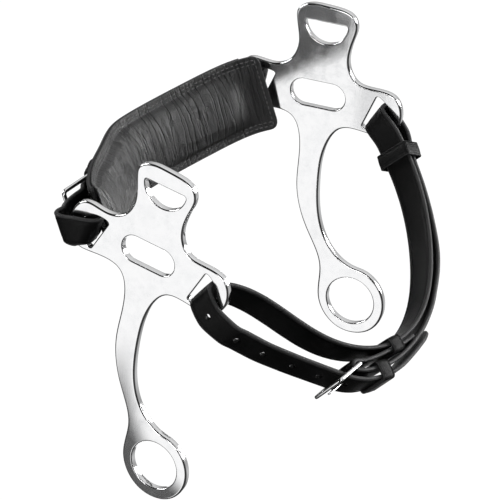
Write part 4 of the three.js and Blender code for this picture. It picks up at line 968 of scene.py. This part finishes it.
# chape centre line, along and out of the arch, before and after it turns round the heel bar
CHAPE_INNER = [(88, 5.95), (86, 6.0), (83.2, 6.9), (81, 7.7), (72, 7.7), (62.5, 7.7), (58.5, 7.3)]
CHAPE_OUTER = [(58, 10.3), (61.6, 9.45), (68, 9.4), (73, 9.4), (80, 9.4)]
CHAPE_TURN = (-70, -35, 0, 35, 70)
CHAPE_TURN_RADIUS = WIRE_RADIUS + 0.25 + CHAPE_THICK / 2
CHAPE_SLOT_ROW = len(CHAPE_INNER) + CHAPE_TURN.index(0)


def tip(distance, length):
    """Share of the full width at a distance from a strap's end."""
    k = np.clip(distance / length, 0, 1)
    return 0.30 + 0.70 * np.sqrt(1 - (1 - k) ** 2) * (0.72 + 0.28 * k)


def creases(seed, count, length, depth=0.07):
    """Random shallow creases across a strap, as a function of s and u."""
    random = np.random.default_rng(seed)
    marks = [
        (
            random.uniform(0, length), random.uniform(0.6, 1.6),
            random.uniform(0.3, 1.0) * depth, random.normal(0, 0.25),
            random.uniform(-6, 6), random.uniform(4, 12),
        )
        for _ in range(count)
    ]

    def lift(s, u):
        z = np.zeros(len(u))
        for s0, width, amount, tilt, u0, reach in marks:
            away = s - s0 - tilt * (u - u0)
            dip = amount * np.exp(-((away / width) ** 2)) * np.exp(-(((u - u0) / reach) ** 4))
            z -= np.where(np.abs(away) < 3.5 * width, dip, 0.0)
        return z

    return lift


def build_chin_strap():
    ribbon = Ribbon(CHIN_STRAP, STRAP_STEP)
    ob = sweep(
        "chin_strap_leather", ribbon, STRAP_SECTION, STRAP_LEATHER,
        taper=tip(ribbon.s, CHIN_TIP), lift=creases(3, 60, ribbon.length),
    )
    cut_holes(ob, ribbon, [(ribbon.at_row(row), *size) for row, *size in CHIN_HOLES])
    put(ob, "curb_strap", "strap_leather", "chin_strap")


def build_nose_strap():
    ribbon = Ribbon(NOSE_STRAP, STRAP_STEP)
    length = ribbon.length
    ob = sweep(
        "noseband_strap_leather", ribbon, STRAP_SECTION, STRAP_LEATHER,
        taper=np.minimum(tip(ribbon.s, NOSE_TIP), tip(length - ribbon.s, NOSE_TIP)),
        lift=creases(4, 40, length),
    )
    holes = []
    for side, low, high in (("left", 0, NOSE_END), ("right", length - NOSE_END, length)):
        for s, out, *size in NOSE_HOLES:
            holes.append((ribbon.nearest(nose(arch_from(side, s), out), low, high), *size))
    cut_holes(ob, ribbon, holes)
    put(ob, "noseband", "strap_leather", "noseband_strap")


def build_chape(side):
    """The short folded strap that holds a noseband buckle."""
    def at(s, out):
        return nose(arch_from(side, s), out)

    heel = at(HEEL_ALONG, HEEL_OUT)
    along = unit(at(HEEL_ALONG + 1, HEEL_OUT) - at(HEEL_ALONG - 1, HEEL_OUT))
    outward = unit(at(HEEL_ALONG, HEEL_OUT + 1) - heel)
    points = [at(s, out) for s, out in CHAPE_INNER]
    for degrees in CHAPE_TURN:
        a = math.radians(degrees)
        points.append(heel + (outward * math.sin(a) - along * math.cos(a)) * CHAPE_TURN_RADIUS)
    points += [at(s, out) for s, out in CHAPE_OUTER]
    ribbon = Ribbon(np.array([[*p, *NOSE_UP] for p in points]), CHAPE_STEP)
    section = strap_section(STRAP_WIDTH, CHAPE_THICK, 0.6, depth=0.1, dome=0.0)
    ob = sweep(side + "_nose_chape_leather", ribbon, section, KEEPER_LEATHER)
    cut_holes(ob, ribbon, [(ribbon.at_row(CHAPE_SLOT_ROW), 2.35, 5.2)])
    put(ob, "noseband", "strap_leather", side + "_nose_chape")


build_chin_strap()
build_nose_strap()
for side in ("left", "right"):
    build_chape(side)

# ------------------------------------------------------------------ strap loops and buckles
# 3 x 4 matrices in scene millimetres; local x is across, y along and z out of the strap
STANDS = {
    "left_nose_buckle": [
        [-0.37396, 0.21601, 0.90171, 89.16595], [-0.08642, 0.96055, -0.26558, 39.84195],
        [-0.92351, -0.17734, -0.34029, 27.44102]],
    "left_nose_keeper": [
        [0.37378, 0.30513, 0.87589, 91.07186], [0.08614, -0.95167, 0.29477, 27.94211],
        [0.9235, -0.03473, -0.382, 27.77984]],
    "left_nose_tip_keeper": [
        [0.37386, 0.31846, 0.87108, 94.04187], [0.08602, -0.94701, 0.30932, 19.03993],
        [0.92347, -0.0407, -0.38142, 27.40832]],
    "right_nose_buckle": [
        [0.37377, 0.10373, 0.92175, 87.08339], [0.08614, -0.99326, 0.07686, -45.22002],
        [0.92351, 0.05067, -0.38023, 36.21969]],
    "right_nose_keeper": [
        [-0.37407, 0.37536, 0.84821, 90.34008], [-0.08638, 0.89638, -0.43481, -33.54049],
        [-0.92352, -0.23585, -0.30291, 33.81198]],
    "right_nose_tip_keeper": [
        [-0.37368, 0.33753, 0.86392, 93.85097], [-0.08608, 0.91479, -0.39464, -24.67813],
        [-0.92351, -0.22185, -0.31278, 31.56423]],
    "chin_buckle": [
        [-0.61042, 0.11167, -0.78417, -83.33], [0.14157, 0.98945, 0.0307, 46.61],
        [0.77933, -0.09227, -0.61979, -23.25]],
    "chin_keeper_left": [
        [0.62195, -0.3244, -0.7127, -90.39], [-0.13622, -0.9411, 0.30948, 32.21],
        [-0.77112, -0.0954, -0.6295, -26.45]],
    "chin_keeper_centre": [
        [0.63174, -0.23271, -0.73943, -87.78], [-0.14044, -0.97245, 0.18606, 13.53],
        [-0.76235, -0.0137, -0.64702, -20.82]],
    "chin_keeper_right": [
        [0.68459, 0.64068, -0.34766, -37.82], [0.02736, -0.49919, -0.86606, -85.76],
        [-0.72842, 0.58338, -0.35926, 41.63]],
}
# opening width and height, length along the strap, thickness of the side under the strap
NOSE_KEEPER = (19.7, 6.95, 7, 1.35)
KEEPERS = {
    "chin_keeper_left": (19.64, 9.05, 9.0, 1.5),
    "chin_keeper_centre": (19.52, 6.57, 9.0, 1.5),
    "chin_keeper_right": (20.06, 11.11, 9.0, 1.5),
    "left_nose_keeper": NOSE_KEEPER,
    "left_nose_tip_keeper": NOSE_KEEPER,
    "right_nose_keeper": NOSE_KEEPER,
    "right_nose_tip_keeper": NOSE_KEEPER,
}
KEEPER_WALL, KEEPER_CORNER, KEEPER_ROUND = 1.5, 0.9, 0.55
BUCKLE_CORNER = 2.2
TONGUE_LIFTS = {"chin": 1.1, "left_nose": 0.9, "right_nose": 0.9}


def on_stand(name, x, y, z):
    """Local coordinate arrays to scene points, in metres."""
    stand = np.array(STANDS[name])
    points = np.stack(np.broadcast_arrays(x, y, z), -1).reshape(-1, 3)
    return (points @ stand[:, :3].T + stand[:, 3]) / 1000.0


def rounded_rectangle(half, height, radius, first, side_steps, end_steps):
    """Stations (x, y, outward x, outward y) anticlockwise round a rectangle standing on
    y = 0, from corner `first`, counted from the one at +x, y = 0."""
    inset = half - radius
    low, high = radius, height - radius
    centres = np.array([(inset, low), (inset, high), (-inset, high), (-inset, low)])
    stations = []
    for turn in range(first, first + 4):
        for k in range(9):
            a = math.pi / 2 * (turn - 1 + k / 8)
            outward = np.array([math.cos(a), math.sin(a)])
            stations.append([*(centres[turn % 4] + outward * radius), *outward])
        start, end = (centres[i % 4] + outward * radius for i in (turn, turn + 1))
        steps = end_steps if turn % 2 else side_steps
        for k in range(1, steps):
            stations.append([*(start + (end - start) * k / steps), *outward])
    return np.array(stations)


def keeper_section(length):
    """Stations (y, 1 outside or 0 inside, rise, edge) across a loop's leather."""
    half, r = length / 2, KEEPER_ROUND
    section = []
    for k in range(5):
        a = math.pi / 2 * k / 4
        section.append((-half + r * (1 - math.sin(a)), 1.0, -r * (1 - math.cos(a)), 1.0))
    for offset, rise in ((1.3, 0.0), (1.55, -0.13), (1.8, -0.13), (2.1, 0.0)):
        section.append((-half + offset, 1.0, rise, 0.3))
    rim = section[::-1]
    for k in range(1, 6):
        y = -half + 2.1 + (length - 4.2) * k / 6
        section.append((y, 1.0, 0.08 * math.sin(math.pi * k / 6), 0.0))
    section += [(-y, outer, rise, edge) for y, outer, rise, edge in rim]
    section += [(half - 0.15, 0, 0, 0.6), (0, 0, 0, 0), (-half + 0.15, 0, 0, 0.6)]
    return np.array(section)


def build_keeper(name, width, height, length, under):
    path = rounded_rectangle(width / 2, height, KEEPER_CORNER, 0, side_steps=4, end_steps=8)
    x, z, out_x, out_z = (column[:, None] for column in path.T)
    y, outer, rise, edge = keeper_section(length).T
    out = (np.where(out_z < -0.7, under, KEEPER_WALL) + rise) * outer
    verts = on_stand(name, x + out_x * out, y, z + out_z * out)
    run = np.r_[0, np.cumsum(np.linalg.norm(np.diff(path[:, :2], axis=0), axis=1))]
    uv = np.c_[np.repeat(run, len(y)), np.tile(y, len(path))] / 100
    faces = tube_faces(len(path), len(y), closed=True)
    edges = np.tile(edge, len(path))
    ob = make(name + "_loop", verts, faces, KEEPER_LEATHER, 45.0, edges, uv)
    put(ob, name, "strap_leather", name)


def build_buckle_frame(side):
    name = side + "_buckle_frame"
    half = BUCKLE_WIDTH / 2 - WIRE_RADIUS
    path = rounded_rectangle(
        half, BUCKLE_LENGTH, BUCKLE_CORNER, 1, side_steps=5, end_steps=4
    )[:, :2]
    d = unit(np.roll(path, -1, 0) - np.roll(path, 1, 0))
    x, y, out_x, out_y = (a[:, None] for a in (*path.T, d[:, 1], -d[:, 0]))
    # slightly flattened, except at the heel bar, which stays round
    heel = y < 0.7
    sides = 20
    a = 2 * math.pi * np.arange(sides) / sides
    radius = WIRE_RADIUS * 0.985
    out = signed_power(np.cos(a), np.where(heel, 1.0, 0.8)) * radius
    z = signed_power(np.sin(a), np.where(heel, 1.0, 0.9)) * radius * np.where(heel, 1.0, 0.90)
    verts = on_stand(side + "_buckle", x + out_x * out, y + out_y * out, z)
    faces = tube_faces(len(path), sides, closed=True)
    put(make(name + "_wire", verts, faces, NICKEL, 60.0), name, "buckle_steel", name)


def build_buckle_tongue(side, lift):
    """Wraps the heel bar, then runs out over the far bar."""
    name = side + "_buckle_tongue"
    wrap_radius = WIRE_RADIUS + 0.2 + 0.5
    bar_top = WIRE_RADIUS + 0.3
    line = []  # y, z, share of the full width
    for k in range(17):
        a = math.radians(-58 - 282 * k / 16)
        line.append((math.cos(a) * wrap_radius, math.sin(a) * wrap_radius, 1.0))
    line += [
        (3.2, 1.55, 1.0), (5.0, lift + 0.85, 1.0), (8.0, lift + 0.95, 1.0),
        (12, 0.5 * (lift + bar_top) + 0.95, 0.98), (16, bar_top + 0.85, 0.95),
        (19, bar_top + 0.86, 0.9), (21.4, bar_top + 0.9, 0.85), (23.0, bar_top + 0.84, 0.72),
        (23.75, bar_top + 0.72, 0.5), (23.95, bar_top + 0.66, 0.25),
    ]
    points, tangents = catmull_rom(line, row_numbers(line, 3))
    d = unit(tangents[:, :2])
    y, z, share, out_y, out_z = (a[:, None] for a in (*points.T, -d[:, 1], d[:, 0]))
    wrap = np.hypot(y, z) < 2.6
    half_width = np.where(wrap, 1.55, 1.12) * share
    half_thick = np.where(wrap, 0.44, 0.68) * (0.5 + 0.5 * share)
    sides = 14
    a = 2 * math.pi * np.arange(sides) / sides
    x = signed_power(np.cos(a), 0.6) * half_width
    out = signed_power(np.sin(a), 0.6) * half_thick
    verts = on_stand(side + "_buckle", x, y + out_y * out, z + out_z * out)
    last = (len(points) - 1) * sides
    faces = tube_faces(len(points), sides)
    faces += [tuple(range(sides))[::-1], tuple(range(last, last + sides))]
    put(make(name + "_steel", verts, faces, NICKEL, 60.0), name, "buckle_steel", name)


for name, sizes in KEEPERS.items():
    build_keeper(name, *sizes)
for side, lift in TONGUE_LIFTS.items():
    build_buckle_frame(side)
    build_buckle_tongue(side, lift)

# ------------------------------------------------------------------ stitching
STITCH_LENGTH, STITCH_RADIUS, STITCH_PROUD = 2.3, 0.34, 0.16
STITCH_STATIONS, STITCH_SIDES = 6, 6


def stitches(name, places, slot):
    """A small closed grain of thread at each (point, direction, outward)."""
    verts, faces = [], []
    stations, sides = STITCH_STATIONS, STITCH_SIDES
    for point, along, outward in places:
        across = unit(np.cross(along, outward))
        base = len(verts)
        end = point + outward * (STITCH_PROUD - STITCH_RADIUS * 0.4)
        verts.append(end - along * STITCH_LENGTH / 2)
        for i in range(1, stations):
            t = i / stations
            radius = STITCH_RADIUS * math.sin(math.pi * t) ** 0.45
            sag = -STITCH_RADIUS * 0.9 * abs(2 * t - 1) ** 3
            for k in range(sides):
                a = 2 * math.pi * k / sides
                height = STITCH_PROUD + sag + math.sin(a) * radius * 0.8
                centre = point + along * (t - 0.5) * STITCH_LENGTH
                verts.append(centre + outward * height + across * math.cos(a) * radius)
        verts.append(end + along * STITCH_LENGTH / 2)
        for k in range(sides):
            k2 = (k + 1) % sides
            faces.append((base, base + 1 + k2, base + 1 + k))
            for i in range(stations - 2):
                a = base + 1 + i * sides
                b = a + sides
                faces.append((a + k, a + k2, b + k2, b + k))
            last = base + 1 + (stations - 2) * sides
            faces.append((last + k, last + k2, last + sides))
    put(make(name, to_scene(verts), faces, THREAD, 80.0), "noseband", slot)


def arch_row(start, end, up, out, outward, pitch):
    """Stitch places along the arch; outward is 1 on its outside and -1 on its inside."""
    places = []
    for s in np.linspace(start, end, int((end - start) / pitch)):
        point = nose(s, out, up)
        along = unit(nose(s + 0.5, out, up) - nose(s - 0.5, out, up))
        places.append((point, along, unit(nose(s, out + 1, up) - point) * outward))
    return places


def build_stitching():
    places = []
    for up, out in ((21.3, 0.0), (18.9, -0.05), (-21.3, 0.0), (-18.9, -0.05)):
        places += arch_row(PAD_START + 4.0, PAD_END - 4.0, up, LINING_FACE + out, -1, 3.1)
    for s in (PAD_START + 2.2, PAD_END - 2.6):
        for up in np.linspace(-20, 20, 13):
            point = nose(s, LINING_FACE, up)
            places.append((point, NOSE_UP, unit(nose(s, LINING_FACE - 1, up) - point)))
    stitches("noseband_pad_stitching", places, "pad_leather")
    places = []
    for up in (7.4, -7.4):
        places += arch_row(89.5, ARCH_LENGTH - 89.5, up, 5.06, 1, 3.0)
    for up in (20.4, -20.4):
        out = SKIN_GAP + BACKING_THICK
        places += arch_row(PAD_START + 6, BACKING_END - 6, up, out, 1, 3.4)
    stitches("noseband_back_stitching", places, "strap_leather")


build_stitching()

# ------------------------------------------------------------------ stage, lights, camera
# Painted reflections: the white cards in these directions, the grey walls and the dark patches are
# no objects; the floor and world glow with them for glossy rays only.
CARD = np.array([0.36, 0.78, -0.51]) / np.linalg.norm([0.36, 0.78, -0.51])
TWIN_CARD = CARD * (1.0, -1.0, 1.0)
CARD_SOFT_EDGE, TWIN_SOFT_EDGE = (24, 15), (28, 17)  # degrees from each card's middle
CARD_LEVEL, TWIN_LEVEL, DARKEST = 1.07, 1.0, 0.008
DARK_REFLECTION_STRENGTH = 0.93
FLOOR_HALF, FLOOR_CELLS, FLOOR_GAP = 9.0, 24, 0.0006
FLOOR_SEEN, FLOOR_DIFFUSE, FLOOR_GLOW_SHARE = 1.04, 0.16, 0.97
# name, place, target, size x, size y, watts
LIGHTS = [
    ("top_softbox", (-0.10, 0.25, 1.25), (0, 0, 0), 1.0, 0.8, 15.0),
    ("nose_softbox", (-1.25, -1.15, 0.55), (0.02, 0, 0.05), 0.9, 0.7, 36.0),
    ("right_strip", (-1.2, 0.9, 0.75), (-0.05, 0, 0), 0.25, 1.0, 5.0),
    ("left_strip", (1.35, 0.35, 0.55), (0, 0, 0), 0.3, 0.9, 9.0),
    ("low_fill", (0.15, 1.5, 0.05), (0, 0, 0), 0.5, 0.3, 3.0),
]
CAMERA_AT = (-738.4, 1591.4, 945.6)
CAMERA_RIGHT = np.array([-0.87972, -0.46424, 0.10282])
CAMERA_DOWN = np.array([-0.31042, 0.39691, -0.86377])
CAMERA_FORWARD = np.array([0.36019, -0.7918, -0.49328])


def painted_dark_reflections(graph, direction, sign, position):
    """Painted dark reflections: two parts of the floor that mirror less of the card, so the steel
    reflects dark there.
    """
    times, step = graph.times, graph.step
    x, y, _ = graph.node("SeparateXYZ", position).outputs
    heading = times(graph.node("SeparateXYZ", direction).outputs[0], sign)
    # the first lies on the -y side of a parabola in x, the second far out on +x and +y
    border = graph.add(graph.add(times(x, 0.32), 0.112), times(times(x, x), 4.8))
    below = step(graph.math("SUBTRACT", border, y), -0.010, 0.006)
    first = times(below, step(times(x, -1.0), -0.128, -0.075))
    first = times(first, step(heading, 0.34, 0.40))
    second = times(step(x, 0.150, 0.168), step(y, 0.28, 0.33))
    second = times(second, step(times(heading, -1.0), -0.34, -0.29))
    return graph.math("MAXIMUM", first, second)


def reflected_level(graph, direction, sign, position=None):
    """Studio brightness in a mirror, painted: low white cards on +y and -y, and grey walls, none of
    them objects.
    """
    times = graph.times

    def facing(axis):
        return graph.node(
            "VectorMath", direction, tuple(sign * axis), operation="DOT_PRODUCT"
        ).outputs["Value"]

    def card_step(value, soft_edge):
        return graph.step(value, *(math.cos(math.radians(a)) for a in soft_edge))

    toward_card = facing(CARD)
    card = card_step(toward_card, CARD_SOFT_EDGE)
    wall = graph.step(times(toward_card, -1.0), 0.10, 0.60)
    twin = card_step(facing(TWIN_CARD), TWIN_SOFT_EDGE)
    if position is not None:
        # painted dark reflections: floor spots where the steel mirrors less of the card
        patches = times(painted_dark_reflections(graph, direction, sign, position), DARK_REFLECTION_STRENGTH)
        card = times(card, graph.math("SUBTRACT", 1.0, patches))
    height = graph.node("SeparateXYZ", direction).outputs[2]
    height = graph.add(times(height, 0.5 * sign), 0.5)
    wall = times(
        wall, graph.ramp(height, (0.0, 0.75), (0.30, 0.58), (0.48, 0.34), (0.60, 0.46), (1.0, 0.9))
    )
    level = graph.math("MAXIMUM", times(card, CARD_LEVEL), wall)
    level = graph.math("MAXIMUM", level, times(twin, TWIN_LEVEL))
    return graph.add(level, DARKEST)


def floor_material():
    """Evenly white to the camera; to mirrors it glows with the painted cards, walls and dark
    patches, to other rays a dim glow.
    """
    material = bpy.data.materials.new("floor")
    graph = Graph(material)
    add, times = graph.add, graph.times
    matt = graph.node(
        "BsdfPrincipled", Roughness=0.9, Base_Color=grey(0.80), Specular_IOR_Level=0.1
    )
    ray = graph.node("LightPath").outputs
    camera, glossy = ray["Is Camera Ray"], ray["Is Glossy Ray"]
    geometry = graph.node("NewGeometry").outputs
    mirrored = reflected_level(graph, geometry["Incoming"], -1.0, geometry["Position"])
    level = add(times(camera, FLOOR_SEEN), times(glossy, mirrored))
    other = graph.math("SUBTRACT", 1.0, add(camera, glossy, clamp=True))
    level = add(level, times(other, FLOOR_DIFFUSE))
    glow = graph.node("Emission", Strength=level)
    share = times(add(camera, glossy, clamp=True), FLOOR_GLOW_SHARE)
    mixed = graph.node("MixShader", share, matt.outputs[0], glow.outputs[0])
    graph.node("OutputMaterial", mixed.outputs[0])
    return material


def build_floor():
    z = cad_low[2] - FLOOR_GAP
    n = FLOOR_CELLS
    line = [-FLOOR_HALF + 2 * FLOOR_HALF * i / n for i in range(n + 1)]
    verts = [(x, y, z) for x in line for y in line]
    faces = []
    for i in range(n):
        for j in range(n):
            a, b = i * (n + 1) + j, (i + 1) * (n + 1) + j
            faces.append((a, b, b + 1, a + 1))
    ob = new_object("floor", verts, faces)
    ob.data.materials.append(floor_material())
    ob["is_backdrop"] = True


def build_light(name, place, target, size_x, size_y, watts):
    light = bpy.data.lights.new(name, "AREA")
    light.shape = "RECTANGLE"
    light.size = size_x
    light.size_y = size_y
    light.energy = watts
    ob = bpy.data.objects.new(name, light)
    scene.collection.objects.link(ob)
    ob.location = place
    aim = Vector(target) - Vector(place)
    ob.rotation_euler = aim.to_track_quat("-Z", "Y").to_euler()
    return ob


def build_world():
    """Dim below and brighter above; mirrors see the painted cards and walls of the studio instead.
    """
    world = bpy.data.worlds.new("studio")
    scene.world = world
    graph = Graph(world)
    direction = graph.coordinates("Generated")
    height = graph.node("SeparateXYZ", direction).outputs[2]
    height = graph.add(graph.times(height, 0.5), 0.5)
    glossy = graph.node("LightPath").outputs["Is Glossy Ray"]
    mirrored = reflected_level(graph, direction, 1.0)
    ambient = graph.ramp(height, (0.0, 0.10), (0.5, 0.06), (0.75, 0.28), (1.0, 0.42))
    level = graph.node("Mix", glossy, None, ambient, mirrored, data_type="FLOAT").outputs[0]
    background = graph.node("Background", level, 1.0)
    graph.node("OutputWorld", background.outputs[0])


def build_camera():
    camera = bpy.data.cameras.new("camera")
    camera.sensor_width = 36.0
    camera.lens = 252.0
    camera.clip_start, camera.clip_end = 0.05, 50.0
    ob = bpy.data.objects.new("camera", camera)
    scene.collection.objects.link(ob)
    columns = np.c_[CAMERA_RIGHT, -CAMERA_DOWN, -CAMERA_FORWARD, to_scene(CAMERA_AT)]
    ob.matrix_world = Matrix([*columns.tolist(), [0, 0, 0, 1]])
    scene.camera = ob


build_floor()
lights = [build_light(*light) for light in LIGHTS]
lights[0].visible_glossy = False  # the top softbox stays out of the mirrors
build_world()
scene.view_settings.view_transform = "Standard"
scene.view_settings.look = "None"
scene.view_settings.exposure = 0.0
build_camera()

visual_low, visual_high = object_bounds()
sizes = {
    "cad": [list(cad_low), list(cad_high)],
    "visual": [list(visual_low), list(visual_high)],
}
